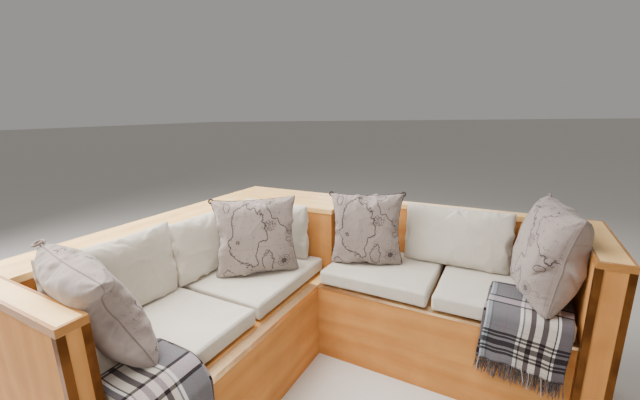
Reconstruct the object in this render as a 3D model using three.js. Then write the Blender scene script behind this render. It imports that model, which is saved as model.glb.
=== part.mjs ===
// Corner settee of a boat's wheelhouse: two plywood seat boxes that meet at a right angle, a ledge behind
// them, an arm at each free end, loose seat and back cushions, scatter pillows and two folded throws.
// Millimetres, +Z up. Inside this file X runs along the right-hand seat and Y along the left-hand seat;
// both are counted from the floor point where the two front panels meet. The group at the end moves the
// whole settee so that its origin is the centre of its footprint on the floor.

import * as THREE from "three";
import { RoundedBoxGeometry } from "three/addons/geometries/RoundedBoxGeometry.js";
import { mergeVertices } from "three/addons/utils/BufferGeometryUtils.js";

// Driving heights
const DECK = 432; // top of the metal edge, level with the seat boards
const CUSHION = 84; // thickness of a seat cushion
const LEDGE_TOP = 815; // top of the ledge and of both arms
const LEDGE_THICK = 27;

// Driving lengths and depths
const LEFT_LENGTH = 1083; // left seat, from the inner corner to its arm
const LEFT_DEPTH = 617; // left seat, from its front panel to the ledge
const LEFT_LEDGE = 233;
const LEFT_ARM = 89;
const LEFT_ARM_SETBACK = 131; // the left arm stops this far behind the front panel
const RIGHT_LENGTH = 1180;
const RIGHT_DEPTH = 475;
const RIGHT_LEDGE = 80;
const RIGHT_ARM = 120;
const RIGHT_ARM_PROUD = 40; // the right arm stands this far in front of the front panel
const CORNER_BOX = 177; // how far the boxed-in corner's front lies behind the right-hand front panel

// Stock sizes
const PLY = 18;
const BATTEN = 45;
const TRIM = 2.5; // metal angle
const TRIM_TOP = 50;
const TRIM_FRONT_LEFT = 27;
const TRIM_FRONT_RIGHT = 14;
const ARM_STRIP = 24;
const LEDGE_OVERHANG = 4;
const RAIL_DEPTH = 54;
const RAIL_HEIGHT = 46;
const LEDGER = 30; // depth of the battens that carry the back of the seat boards
const GAP = 0.3; // clearance where two pieces touch

// Levels and planes worked out from the sizes above
const SEAT = DECK + CUSHION;
const UNDER_LEDGE = LEDGE_TOP - LEDGE_THICK - GAP;
const BOARD_BASE = DECK - PLY;
const LEFT_WALL = -LEFT_DEPTH - LEFT_LEDGE;
const BACK_WALL = RIGHT_DEPTH + RIGHT_LEDGE;
const LEFT_END = -LEFT_LENGTH - LEFT_ARM;
const RIGHT_END = RIGHT_LENGTH + RIGHT_ARM;
const LEFT_BACK_FACE = -LEFT_DEPTH - LEDGE_OVERHANG;
const RIGHT_BACK_FACE = RIGHT_DEPTH + LEDGE_OVERHANG;
const CORNER_FACE = CORNER_BOX + LEDGE_OVERHANG;
const LEFT_SPLIT = -451; // joint between the two left seat boards and cushions
const RIGHT_SPLIT = 596;
const LEFT_POSTS = [-1000, -420]; // near sides of the posts against the left wall
const BACK_POSTS = [-60, 560];

function finish(color, roughness, metalness = 0) {
  return () => new THREE.MeshStandardMaterial({ color, roughness, metalness });
}

const panelWood = finish(0xc48a4c, 0.32);
const ledgeWood = finish(0xe9d3a6, 0.28);
const frameWood = finish(0xb58d5c, 0.7);
const bronze = finish(0x96703c, 0.35, 0.9);
const seatFabric = finish(0xcfcac0, 0.95);
const pillowLinen = finish(0xb9b0ab, 0.95);
const throwWool = finish(0x9ba3ad, 0.95);

const settee = new THREE.Group();
settee.position.set(-(LEFT_WALL + RIGHT_END) / 2, -(LEFT_END + BACK_WALL) / 2, 0);

// A rectangular board between two values on each axis.
function board(name, material, [x0, x1], [y0, y1], [z0, z1]) {
  const mesh = new THREE.Mesh(new THREE.BoxGeometry(x1 - x0, y1 - y0, z1 - z0), material());
  mesh.name = name;
  mesh.position.set((x0 + x1) / 2, (y0 + y1) / 2, (z0 + z1) / 2);
  settee.add(mesh);
}

// An outline of [across, up] points, extruded. Its own frame has across on X, up on Y and length on Z;
// "y" lays the length along the left-hand seat, "x" along the right-hand one with across pointing back.
function section(name, material, outline, along, from, to) {
  const shape = new THREE.Shape(outline.map(([across, up]) => new THREE.Vector2(across, up)));
  const geometry = new THREE.ExtrudeGeometry(shape, { depth: to - from, bevelEnabled: false });
  const mesh = new THREE.Mesh(geometry, material());
  mesh.name = name;
  if (along === "y") {
    mesh.rotation.set(Math.PI / 2, 0, 0);
    mesh.position.set(0, to, 0);
  } else {
    mesh.rotation.set(Math.PI / 2, 0, Math.PI / 2, "ZYX");
    mesh.position.set(from, 0, 0);
  }
  settee.add(mesh);
}

// Outline of a square-edged angle: an upright leg and a flat leg that share the outer corner.
function angleOutline(corner, top, flatTo, uprightTo, thick) {
  const inward = Math.sign(flatTo - corner);
  return [
    [corner, uprightTo],
    [corner, top],
    [flatTo, top],
    [flatTo, top - thick],
    [corner + inward * thick, top - thick],
    [corner + inward * thick, uprightTo],
  ];
}

// Outline of the rebated rail behind a front panel: its low shelf carries the seat boards.
function railOutline(front, back) {
  const inward = Math.sign(back - front);
  const step = front + inward * (TRIM_TOP - PLY - GAP);
  return [
    [front, DECK - RAIL_HEIGHT],
    [front, DECK - TRIM - GAP],
    [step, DECK - TRIM - GAP],
    [step, BOARD_BASE - GAP],
    [back, BOARD_BASE - GAP],
    [back, DECK - RAIL_HEIGHT],
  ];
}

// Left-hand seat box

const leftSeatFrom = -LEFT_LENGTH + GAP;
const leftBoardBack = LEFT_BACK_FACE + GAP;
const leftBoardFront = -TRIM_TOP - GAP;

board("left_front_panel", panelWood, [-PLY, 0], [leftSeatFrom, CORNER_FACE - GAP], [0, DECK - TRIM - GAP]);
board(
  "left_end_panel",
  panelWood,
  [LEFT_BACK_FACE + GAP, -PLY - GAP],
  [leftSeatFrom, leftSeatFrom + PLY],
  [0, DECK - RAIL_HEIGHT - GAP],
);
section(
  "left_seat_rail",
  frameWood,
  railOutline(-PLY - GAP, -PLY - GAP - RAIL_DEPTH),
  "y",
  leftSeatFrom,
  CORNER_FACE - GAP,
);
section(
  "left_edge_angle",
  bronze,
  angleOutline(TRIM + GAP, DECK, -TRIM_TOP, DECK - TRIM_FRONT_LEFT, TRIM),
  "y",
  leftSeatFrom,
  -TRIM - 2 * GAP,
);
board(
  "corner_filler",
  ledgeWood,
  [-TRIM_TOP, -GAP],
  [-TRIM - GAP, CORNER_FACE - GAP],
  [DECK - TRIM, DECK],
);
board(
  "left_back_ledger",
  frameWood,
  [LEFT_BACK_FACE + GAP, LEFT_BACK_FACE + LEDGER],
  [leftSeatFrom, CORNER_FACE - GAP],
  [DECK - RAIL_HEIGHT, BOARD_BASE - GAP],
);

const leftBoards = [
  // name, from, to along Y
  ["left_seat_board_near", leftSeatFrom, LEFT_SPLIT - GAP / 2],
  ["left_seat_board_far", LEFT_SPLIT + GAP / 2, CORNER_FACE - GAP],
];
for (const [name, from, to] of leftBoards) {
  board(name, panelWood, [leftBoardBack, leftBoardFront], [from, to], [BOARD_BASE, DECK]);
}
board(
  "left_bulkhead",
  panelWood,
  [LEFT_BACK_FACE + GAP, -PLY - GAP],
  [LEFT_SPLIT - PLY / 2, LEFT_SPLIT + PLY / 2],
  [0, DECK - RAIL_HEIGHT - GAP],
);
board(
  "left_back_panel",
  panelWood,
  [LEFT_BACK_FACE - PLY, LEFT_BACK_FACE],
  [leftSeatFrom, CORNER_FACE - GAP],
  [0, UNDER_LEDGE],
);

// Right-hand seat box

const rightSeatTo = RIGHT_LENGTH - GAP;
const rightBoardFront = TRIM_TOP + GAP;
const rightBoardBack = RIGHT_BACK_FACE - GAP;

board("right_front_panel", panelWood, [GAP, rightSeatTo], [0, PLY], [0, DECK - TRIM - GAP]);
section(
  "right_seat_rail",
  frameWood,
  railOutline(PLY + GAP, PLY + GAP + RAIL_DEPTH),
  "x",
  GAP,
  rightSeatTo,
);
section(
  "right_edge_angle",
  bronze,
  angleOutline(-TRIM - GAP, DECK, TRIM_TOP, DECK - TRIM_FRONT_RIGHT, TRIM),
  "x",
  TRIM + 2 * GAP,
  rightSeatTo,
);
board(
  "right_back_ledger",
  frameWood,
  [GAP, rightSeatTo],
  [RIGHT_BACK_FACE - LEDGER, RIGHT_BACK_FACE - GAP],
  [DECK - RAIL_HEIGHT, BOARD_BASE - GAP],
);

const rightBoards = [
  // name, from, to along X
  ["right_seat_board_left", GAP, RIGHT_SPLIT - GAP / 2],
  ["right_seat_board_right", RIGHT_SPLIT + GAP / 2, rightSeatTo],
];
for (const [name, from, to] of rightBoards) {
  board(name, panelWood, [from, to], [rightBoardFront, rightBoardBack], [BOARD_BASE, DECK]);
}
board(
  "right_bulkhead",
  panelWood,
  [RIGHT_SPLIT - PLY / 2, RIGHT_SPLIT + PLY / 2],
  [PLY + GAP, RIGHT_BACK_FACE - GAP],
  [0, DECK - RAIL_HEIGHT - GAP],
);
board(
  "right_back_panel",
  panelWood,
  [GAP, rightSeatTo],
  [RIGHT_BACK_FACE, RIGHT_BACK_FACE + PLY],
  [0, UNDER_LEDGE],
);

// Boxed-in corner between the two backs

board(
  "corner_box_front",
  panelWood,
  [LEFT_BACK_FACE - PLY, -LEDGE_OVERHANG],
  [CORNER_FACE, CORNER_FACE + PLY],
  [0, UNDER_LEDGE],
);
board(
  "corner_box_side",
  panelWood,
  [-LEDGE_OVERHANG - PLY, -LEDGE_OVERHANG],
  [CORNER_FACE + PLY + GAP, RIGHT_BACK_FACE + PLY],
  [0, UNDER_LEDGE],
);

// Ledge

const ledgeZ = [LEDGE_TOP - LEDGE_THICK, LEDGE_TOP];

board("left_ledge", ledgeWood, [LEFT_WALL, -LEFT_DEPTH], [leftSeatFrom, CORNER_BOX - GAP / 2], ledgeZ);
board("corner_ledge", ledgeWood, [LEFT_WALL, 0], [CORNER_BOX + GAP / 2, BACK_WALL], ledgeZ);
board("right_ledge", ledgeWood, [GAP, rightSeatTo], [RIGHT_DEPTH, BACK_WALL], ledgeZ);

// Arms: two ply skins on a post, with a cap and metal angles on the free end's upright corners

// An upright angle with its outer corner at [cornerX, cornerY]. towardX and towardY are 1 or -1: the way
// in which each leg runs from that corner.
function angleStrip(name, cornerX, cornerY, towardX, towardY, top) {
  const outline = [
    [0, 0],
    [ARM_STRIP * towardX, 0],
    [ARM_STRIP * towardX, TRIM * towardY],
    [TRIM * towardX, TRIM * towardY],
    [TRIM * towardX, ARM_STRIP * towardY],
    [0, ARM_STRIP * towardY],
  ];
  const shape = new THREE.Shape(outline.map(([x, y]) => new THREE.Vector2(x, y)));
  const mesh = new THREE.Mesh(
    new THREE.ExtrudeGeometry(shape, { depth: top, bevelEnabled: false }),
    bronze(),
  );
  mesh.name = name;
  mesh.position.set(cornerX, cornerY, 0);
  settee.add(mesh);
}

const armSkin = TRIM + GAP; // the skins lie this far inside the cap's edge, so the angles end flush
const leftArmFront = -LEFT_ARM_SETBACK;

board(
  "left_arm_outer_panel",
  panelWood,
  [LEFT_WALL, leftArmFront - armSkin],
  [LEFT_END + armSkin, LEFT_END + armSkin + PLY],
  [0, UNDER_LEDGE],
);
board(
  "left_arm_inner_panel",
  panelWood,
  [LEFT_WALL, leftArmFront - armSkin],
  [-LEFT_LENGTH - armSkin - PLY, -LEFT_LENGTH - armSkin],
  [0, UNDER_LEDGE],
);
board(
  "left_arm_post",
  panelWood,
  [leftArmFront - armSkin - BATTEN, leftArmFront - armSkin],
  [LEFT_END + armSkin + PLY + GAP, -LEFT_LENGTH - armSkin - PLY - GAP],
  [0, UNDER_LEDGE],
);
board("left_arm_cap", ledgeWood, [LEFT_WALL, leftArmFront], [LEFT_END, -LEFT_LENGTH], ledgeZ);
angleStrip("left_arm_strip_outer", leftArmFront, LEFT_END, -1, 1, UNDER_LEDGE);
angleStrip("left_arm_strip_inner", leftArmFront, -LEFT_LENGTH, -1, -1, UNDER_LEDGE);

const rightArmFront = -RIGHT_ARM_PROUD;

board(
  "right_arm_inner_panel",
  panelWood,
  [RIGHT_LENGTH + armSkin, RIGHT_LENGTH + armSkin + PLY],
  [rightArmFront + armSkin, BACK_WALL],
  [0, UNDER_LEDGE],
);
board(
  "right_arm_outer_panel",
  panelWood,
  [RIGHT_END - armSkin - PLY, RIGHT_END - armSkin],
  [rightArmFront + armSkin, BACK_WALL],
  [0, UNDER_LEDGE],
);
board(
  "right_arm_post",
  panelWood,
  [RIGHT_LENGTH + armSkin + PLY + GAP, RIGHT_END - armSkin - PLY - GAP],
  [rightArmFront + armSkin, rightArmFront + armSkin + BATTEN],
  [0, UNDER_LEDGE],
);
board("right_arm_cap", ledgeWood, [RIGHT_LENGTH, RIGHT_END], [rightArmFront, BACK_WALL], ledgeZ);
angleStrip("right_arm_strip_inner", RIGHT_LENGTH, rightArmFront, 1, 1, UNDER_LEDGE);
angleStrip("right_arm_strip_outer", RIGHT_END, rightArmFront, -1, 1, UNDER_LEDGE);

// Framing against the two walls, seen from behind

const wallLeft = [LEFT_WALL, LEFT_WALL + BATTEN];
const wallBack = [BACK_WALL - BATTEN, BACK_WALL];
const floorRail = [0, BATTEN];
const topRail = [UNDER_LEDGE - BATTEN, UNDER_LEDGE];
const postZ = [BATTEN + GAP, UNDER_LEDGE - BATTEN - GAP];
const backRailX = [LEFT_WALL, RIGHT_LENGTH + armSkin - GAP];
const leftRailY = [-LEFT_LENGTH - armSkin + GAP, BACK_WALL - BATTEN - GAP];

board("left_floor_rail", frameWood, wallLeft, leftRailY, floorRail);
board("left_top_rail", frameWood, wallLeft, leftRailY, topRail);
board("back_floor_rail", frameWood, backRailX, wallBack, floorRail);
board("back_top_rail", frameWood, backRailX, wallBack, topRail);
for (const [index, y] of LEFT_POSTS.entries()) {
  board(`left_wall_post_${index + 1}`, frameWood, wallLeft, [y, y + BATTEN], postZ);
}
board("corner_wall_post", frameWood, wallLeft, wallBack, postZ);
for (const [index, x] of BACK_POSTS.entries()) {
  board(`back_wall_post_${index + 1}`, frameWood, [x, x + BATTEN], wallBack, postZ);
}

// Soft pieces

const CUSHION_ROUND = 26;
const ROUND_STEPS = 2;
const REST = 0.3; // clearance under and beside a soft piece

// A box with rounded edges whose own origin is the middle of its underside.
function cushionGeometry(wide, deep, high) {
  const geometry = new RoundedBoxGeometry(wide, deep, high, ROUND_STEPS, CUSHION_ROUND);
  geometry.translate(0, 0, high / 2);
  return geometry;
}

const PILLOW_STEPS = 10;
const SIDE_WAIST = 0.14; // how far a pillow's left and right sides draw in between its corners
const TOP_WAIST = 0.05; // the same for its upper and lower sides
const PILLOW_FULLNESS = 0.34;

// A pillow: two crowned faces that meet in a seam, its own origin in the middle of the lower seam.
function pillowGeometry(wide, thick, high) {
  const positions = [];
  const point = (u, v, side) => {
    const across = u * (1 - SIDE_WAIST * (1 - v * v));
    const up = v * (1 - TOP_WAIST * (1 - u * u));
    const crown = Math.pow(Math.max(0, (1 - u * u) * (1 - v * v)), PILLOW_FULLNESS);
    return [(across * wide) / 2, (side * crown * thick) / 2, ((up + 1) * high) / 2];
  };
  for (const side of [-1, 1]) {
    for (let i = 0; i < PILLOW_STEPS; i++) {
      for (let j = 0; j < PILLOW_STEPS; j++) {
        const [u0, u1] = [i, i + 1].map((k) => (2 * k) / PILLOW_STEPS - 1);
        const [v0, v1] = [j, j + 1].map((k) => (2 * k) / PILLOW_STEPS - 1);
        const [a, b, c, d] = [[u0, v0], [u1, v0], [u1, v1], [u0, v1]].map(([u, v]) => point(u, v, side));
        // Each cell is cut along the diagonal that points to the pillow's nearest corner.
        const sameQuarter = i < PILLOW_STEPS / 2 === j < PILLOW_STEPS / 2;
        const faces = sameQuarter ? [a, b, c, a, c, d] : [a, b, d, b, c, d];
        positions.push(...(side < 0 ? faces : faces.reverse()).flat());
      }
    }
  }
  const geometry = new THREE.BufferGeometry();
  geometry.setAttribute("position", new THREE.Float32BufferAttribute(positions, 3));
  const closed = mergeVertices(geometry, 1e-3);
  closed.computeVertexNormals();
  return closed;
}

// Stands a soft piece on a level at [x, y]. turn is the heading of its width in degrees, counted from X;
// lean tips its top back, away from the side that it faces, and roll lifts the far end of its width.
function stand(name, material, geometry, [x, y], level, { turn = 0, lean = 0, roll = 0, lift = 0 }) {
  const degrees = THREE.MathUtils.degToRad;
  const place = new THREE.Group();
  place.position.set(x, y, level + REST + lift);
  place.rotation.z = degrees(turn);
  const mesh = new THREE.Mesh(geometry, material());
  mesh.name = name;
  mesh.rotation.set(-degrees(lean), -degrees(roll), 0);
  place.add(mesh);
  settee.add(place);
}

const CUSHION_SIDE = 3; // gap between a seat cushion and what stands beside it
const CUSHION_SPLIT = 1; // half of the gap between two seat cushions
const LEFT_CUSHION_FRONT = -46;
const RIGHT_CUSHION_FRONT = -10;

const seatCushions = [
  // name, x from, x to, y from, y to
  [
    "left_seat_cushion_near",
    LEFT_BACK_FACE + CUSHION_SIDE,
    LEFT_CUSHION_FRONT,
    -LEFT_LENGTH + CUSHION_SIDE,
    LEFT_SPLIT - CUSHION_SPLIT,
  ],
  [
    "left_seat_cushion_far",
    LEFT_BACK_FACE + CUSHION_SIDE,
    LEFT_CUSHION_FRONT,
    LEFT_SPLIT + CUSHION_SPLIT,
    CORNER_FACE - CUSHION_SIDE,
  ],
  [
    "right_seat_cushion_left",
    CUSHION_SIDE,
    RIGHT_SPLIT - CUSHION_SPLIT,
    RIGHT_CUSHION_FRONT,
    RIGHT_BACK_FACE - CUSHION_SIDE,
  ],
  [
    "right_seat_cushion_right",
    RIGHT_SPLIT + CUSHION_SPLIT,
    RIGHT_LENGTH - CUSHION_SIDE,
    RIGHT_CUSHION_FRONT,
    RIGHT_BACK_FACE - CUSHION_SIDE,
  ],
];
for (const [name, x0, x1, y0, y1] of seatCushions) {
  stand(
    name,
    seatFabric,
    cushionGeometry(x1 - x0, y1 - y0, CUSHION - REST),
    [(x0 + x1) / 2, (y0 + y1) / 2],
    DECK,
    {},
  );
}

const backCushions = [
  // name, width, thickness, height, x, y, turn, lean
  ["left_back_cushion_near", 540, 78, 355, -546, -758, 85, 2],
  ["left_back_cushion_far", 522, 105, 322, -518, -222, 90, 8],
  ["corner_back_cushion", 450, 105, 325, -350, 107, 0, 2],
  ["right_back_cushion", 552, 105, 325, 648, 382, 0, 7],
];
for (const [name, width, deep, high, x, y, turn, lean] of backCushions) {
  const tip = THREE.MathUtils.degToRad(lean);
  // The lower back edge is rounded, so a leaning cushion stands on the round.
  const lift = (deep / 2 - CUSHION_ROUND) * Math.sin(tip) + CUSHION_ROUND * (1 - Math.cos(tip));
  stand(name, seatFabric, cushionGeometry(width, deep, high), [x, y], SEAT, { turn, lean, lift });
}

const THROW_THICK = 8;
const RIM_ROUND = 8; // how far over the seat's rim a throw turns down
const LEFT_THROW = { back: -245, foot: 150, from: -812 - 250, to: -812 };
const RIGHT_THROW = { back: 270, foot: 210, from: 822, to: 1158 };
const ON_THROW = SEAT + REST + THROW_THICK;

const pillows = [
  // name, width, thickness, height, x, y, level, turn, lean, roll
  ["left_end_pillow", 400, 168, 430, -313, -887, ON_THROW, 171.3, 21, 1],
  ["left_middle_pillow", 445, 155, 410, -268, -169, SEAT, 41.4, 9.5, 0],
  ["corner_pillow", 405, 145, 400, 201, 209, SEAT, 20.8, 7.6, 0],
  ["right_end_pillow", 430, 208, 430, 1013, 200, ON_THROW, -77.7, 10.9, 0],
];
for (const [name, wide, thick, high, x, y, level, turn, lean, roll] of pillows) {
  const [tip, tilt] = [lean, roll].map(THREE.MathUtils.degToRad);
  const lift = (wide / 2) * Math.sin(Math.abs(tilt)) * Math.cos(tip);
  stand(name, pillowLinen, pillowGeometry(wide, thick, high), [x, y], level, { turn, lean, roll, lift });
}

// A folded throw in profile: it lies on the cushion, turns over the front and hangs.
function throwOutline(backEdge, crest, hangs, foot) {
  const outward = Math.sign(crest - backEdge);
  const under = SEAT + REST;
  const lip = DECK + RIM_ROUND;
  const off = outward * THROW_THICK;
  return [
    [backEdge, under],
    [backEdge, under + THROW_THICK],
    [crest + off / 2, under + THROW_THICK],
    [hangs + off, lip],
    [hangs + off, foot],
    [hangs, foot],
    [hangs, lip - RIM_ROUND / 2],
    [crest, under],
  ];
}

section(
  "left_throw",
  throwWool,
  throwOutline(LEFT_THROW.back, LEFT_CUSHION_FRONT + REST, TRIM + 2 * GAP + REST, LEFT_THROW.foot),
  "y",
  LEFT_THROW.from,
  LEFT_THROW.to,
);
section(
  "right_throw",
  throwWool,
  throwOutline(
    RIGHT_THROW.back,
    RIGHT_CUSHION_FRONT - REST,
    RIGHT_CUSHION_FRONT - 2 * REST,
    RIGHT_THROW.foot,
  ),
  "x",
  RIGHT_THROW.from,
  RIGHT_THROW.to,
);

export default settee;
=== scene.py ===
"""Looks of a wheelhouse corner settee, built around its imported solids.

Lengths are metres, in the frame of the solids: X runs along the right-hand seat, Y towards its back,
Z up. Boards, rails and metal angles keep their solids and get finishes; every cushion, scatter pillow
and throw is modelled here and stands in the space that its solid holds.
"""

from __future__ import annotations

import logging
import math
from dataclasses import dataclass, field
from enum import Enum
from functools import partial, reduce
from typing import Callable, ClassVar, Iterable, Mapping, NamedTuple, Sequence, Union

import bpy
import numpy as np
from mathutils import Matrix, Vector, noise
from mathutils.bvhtree import BVHTree


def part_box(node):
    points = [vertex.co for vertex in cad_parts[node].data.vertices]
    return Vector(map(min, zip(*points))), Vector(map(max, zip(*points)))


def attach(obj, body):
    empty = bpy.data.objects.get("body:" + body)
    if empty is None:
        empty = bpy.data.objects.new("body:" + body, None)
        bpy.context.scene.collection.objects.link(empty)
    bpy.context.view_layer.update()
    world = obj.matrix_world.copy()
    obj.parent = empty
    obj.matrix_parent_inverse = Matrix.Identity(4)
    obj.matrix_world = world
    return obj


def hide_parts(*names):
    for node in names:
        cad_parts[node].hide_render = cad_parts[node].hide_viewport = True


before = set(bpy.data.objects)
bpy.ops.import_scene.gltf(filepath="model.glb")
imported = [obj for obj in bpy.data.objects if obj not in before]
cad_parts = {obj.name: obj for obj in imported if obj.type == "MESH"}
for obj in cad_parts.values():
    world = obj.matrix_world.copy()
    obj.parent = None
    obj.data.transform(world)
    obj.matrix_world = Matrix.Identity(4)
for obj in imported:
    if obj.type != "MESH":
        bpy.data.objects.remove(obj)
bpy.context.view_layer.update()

LOG = logging.getLogger("settee")
MM = 0.001
ORIGIN = (0.0, 0.0, 0.0)
# Attribute that holds each vertex's place on the flat cut
FLAT = "flat"
# Height of the closure on a pillow's back over the middle of its flat cut
CLOSURE_AT = 0.118

Value = Union[float, Sequence[float], "Signal"]
Inputs = Mapping[Union[str, int], Value]
Colour = tuple[float, float, float, float]
Array = np.ndarray
Object = bpy.types.Object


def srgb(red: int, green: int, blue: int) -> Colour:
    """Linear colour of a screen colour whose parts go from 0 to 255."""
    shares = [part / 255 for part in (red, green, blue)]
    return (*(s / 12.92 if s <= 0.04045 else ((s + 0.055) / 1.055) ** 2.4 for s in shares), 1.0)


class Slot(str, Enum):
    """Finish names that the record gives to the settee's pieces."""

    PANEL = "panel_ply"
    LEDGE = "ledge_maple"
    FRAMING = "framing_pine"
    EDGE = "edge_bronze"
    SEAT = "seat_fabric"
    PILLOW = "pillow_linen"
    THROW = "throw_tartan"


class Axis(int, Enum):
    """The three directions of the frame."""

    X = 0
    Y = 1
    Z = 2

    def __str__(self) -> str:
        """The direction's letter."""
        return self.name.lower()


def adjust(thing: bpy.types.bpy_struct, **values: object) -> None:
    """Sets properties of something in Blender."""
    for name, value in values.items():
        setattr(thing, name, value)


# Shader graphs


def operator(operation: str) -> Callable[["Signal", Value], "Signal"]:
    """A method that puts a signal and another value through one node."""
    return lambda signal, other: signal.graph.calc(operation, signal, other)


class Signal:
    """An output of a shader node, which takes part in sums as a number or a vector."""

    __add__ = operator("ADD")
    __sub__ = operator("SUBTRACT")
    __mul__ = operator("MULTIPLY")
    __truediv__ = operator("DIVIDE")

    def __init__(self, graph: "Graph", socket: bpy.types.NodeSocket) -> None:
        """Takes the output of a node in a graph."""
        self.graph, self.socket = graph, socket

    def __rsub__(self, other: Value) -> "Signal":
        """Another value less this one."""
        return self.graph.calc("SUBTRACT", other, self)

    def __abs__(self) -> "Signal":
        """The size without its sign."""
        return self.graph.calc("ABSOLUTE", self)

    def parts(self) -> list["Signal"]:
        """The three parts of a vector."""
        node = self.graph.add("SeparateXYZ", {0: self})
        return [node[number] for number in range(3)]


class Node:
    """A shader node whose outputs are read by name or number."""

    def __init__(self, graph: "Graph", node: bpy.types.Node) -> None:
        """Takes a node of a graph."""
        self.graph, self.node = graph, node

    def __getitem__(self, key: str | int) -> Signal:
        """One output."""
        return Signal(self.graph, self.node.outputs[key])

    def feed(self, inputs: Inputs) -> None:
        """Sets inputs to numbers or vectors, or links them.

        Args:
            inputs: Value of each input, by its name or number.
        """
        for key, value in inputs.items():
            if isinstance(value, Signal):
                self.graph.tree.links.new(value.socket, self.node.inputs[key])
            else:
                self.node.inputs[key].default_value = value


class Graph:
    """Short methods that wire the nodes of one shader tree."""

    def __init__(self, tree: bpy.types.NodeTree) -> None:
        """Starts on a tree."""
        self.tree = tree

    def shade(self, inputs: Inputs, name: str = "Principled BSDF") -> None:
        """Sets the inputs of the shader that the tree comes with."""
        Node(self, self.tree.nodes[name]).feed(inputs)

    def add(self, kind: str, inputs: Inputs | None = None, **settings: object) -> Node:
        """Adds a shader node.

        Args:
            kind: The node's type without its "ShaderNode" start.
            inputs: Values of its inputs by name or number.
            settings: Properties of the node.

        Returns:
            The node.
        """
        node = Node(self, self.tree.nodes.new("ShaderNode" + kind))
        adjust(node.node, **settings)
        node.feed(inputs or {})
        return node

    def calc(self, operation: str, *values: Value, clamp: bool = False) -> Signal:
        """The result of a Math node, or of a Vector Math node if a value is a vector.

        Args:
            operation: The node's operation.
            values: What it works on.
            clamp: True to keep a number between 0 and 1.

        Returns:
            The result.
        """
        kinds = [v.socket.type if isinstance(v, Signal) else type(v) for v in values]
        if any(kind in ("VECTOR", tuple) for kind in kinds):
            return self.add("VectorMath", dict(enumerate(values)), operation=operation)[0]
        return self.add("Math", dict(enumerate(values)), operation=operation, use_clamp=clamp)[0]

    def most(self, *values: Value) -> Signal:
        """The largest of several numbers."""
        return reduce(partial(self.calc, "MAXIMUM"), values)

    def length(self, vector: Value) -> Signal:
        """The length of a vector."""
        return self.add("VectorMath", {0: vector}, operation="LENGTH")["Value"]

    def mix(self, factor: Value, first: Value, second: Value, mode: str = "MIX") -> Signal:
        """Two colours mixed by a factor."""
        inputs = {0: factor, 6: first, 7: second}
        return self.add("Mix", inputs, data_type="RGBA", blend_type=mode)[2]

    def shaded(self, colour: Value, shade: Value) -> Signal:
        """A colour made darker or lighter by a factor."""
        return self.mix(1.0, colour, self.join(shade, shade, shade), "MULTIPLY")

    def choose(self, factor: Value, first: Value, second: Value) -> Signal:
        """Two numbers mixed by a factor."""
        return self.add("Mix", {0: factor, 2: first, 3: second}, data_type="FLOAT")[0]

    def remap(self, value: Value, low: float, high: float, start: float = 0.0, end: float = 1.0) -> Signal:
        """A number taken from low..high to start..end with soft ends."""
        inputs = {"Value": value, "From Min": low, "From Max": high, "To Min": start, "To Max": end}
        return self.add("MapRange", inputs, interpolation_type="SMOOTHSTEP")[0]

    def noise(self, place: Value, scale: Value, detail: float = 2.0, distortion: float = 0.0) -> Signal:
        """Noise from 0 to 1 at a place."""
        inputs = {"Vector": place, "Scale": scale, "Detail": detail, "Distortion": distortion}
        return self.add("TexNoise", inputs)[0]

    def join(self, x: Value, y: Value, z: Value = 0.0) -> Signal:
        """A vector of three parts."""
        return self.add("CombineXYZ", {0: x, 1: y, 2: z})[0]

    def flat(self) -> Signal:
        """The place on the flat cut."""
        return self.add("Attribute", attribute_name=FLAT)["Vector"]

    def solid(self) -> Signal:
        """The place in the piece's own frame."""
        return self.add("TexCoord")["Object"]


Outputs = Sequence[Signal]


def shader_group(outputs: str, **inputs: Value) -> Callable[[Callable[..., Outputs]], Callable[..., Node]]:
    """Turns a function that wires nodes into one that places them as a shared shader group.

    Args:
        outputs: Names of the outputs, in the function's order.
        inputs: First value of each input, a number or a vector.

    Returns:
        The decorator.
    """

    def decorate(wire: Callable[..., Outputs]) -> Callable[..., Node]:
        """Makes the placing function.

        Args:
            wire: The wiring function.

        Returns:
            The placing function.
        """

        def build() -> bpy.types.NodeTree:
            """Builds the group.

            Returns:
                Its tree.
            """
            tree = bpy.data.node_groups.new(wire.__name__, "ShaderNodeTree")
            for label, value in inputs.items():
                kind = "NodeSocketFloat" if isinstance(value, float) else "NodeSocketVector"
                socket = tree.interface.new_socket(label, in_out="INPUT", socket_type=kind)
                socket.default_value = value
            graph = Graph(tree)
            entry = Node(graph, tree.nodes.new("NodeGroupInput"))
            made = wire(graph, *[entry[label] for label in inputs])
            for label, signal in zip(outputs.split(), made):
                kind = "NodeSocketColor" if signal.socket.type == "RGBA" else "NodeSocketFloat"
                kind = "NodeSocketVector" if signal.socket.type == "VECTOR" else kind
                tree.interface.new_socket(label, in_out="OUTPUT", socket_type=kind)
            Node(graph, tree.nodes.new("NodeGroupOutput")).feed(dict(zip(outputs.split(), made)))
            return tree

        def place(graph: Graph, **given: Value) -> Node:
            """Adds the group to a graph, with values for its inputs."""
            return graph.add("Group", given, node_tree=bpy.data.node_groups.get(wire.__name__) or build())

        return place

    return decorate


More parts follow.
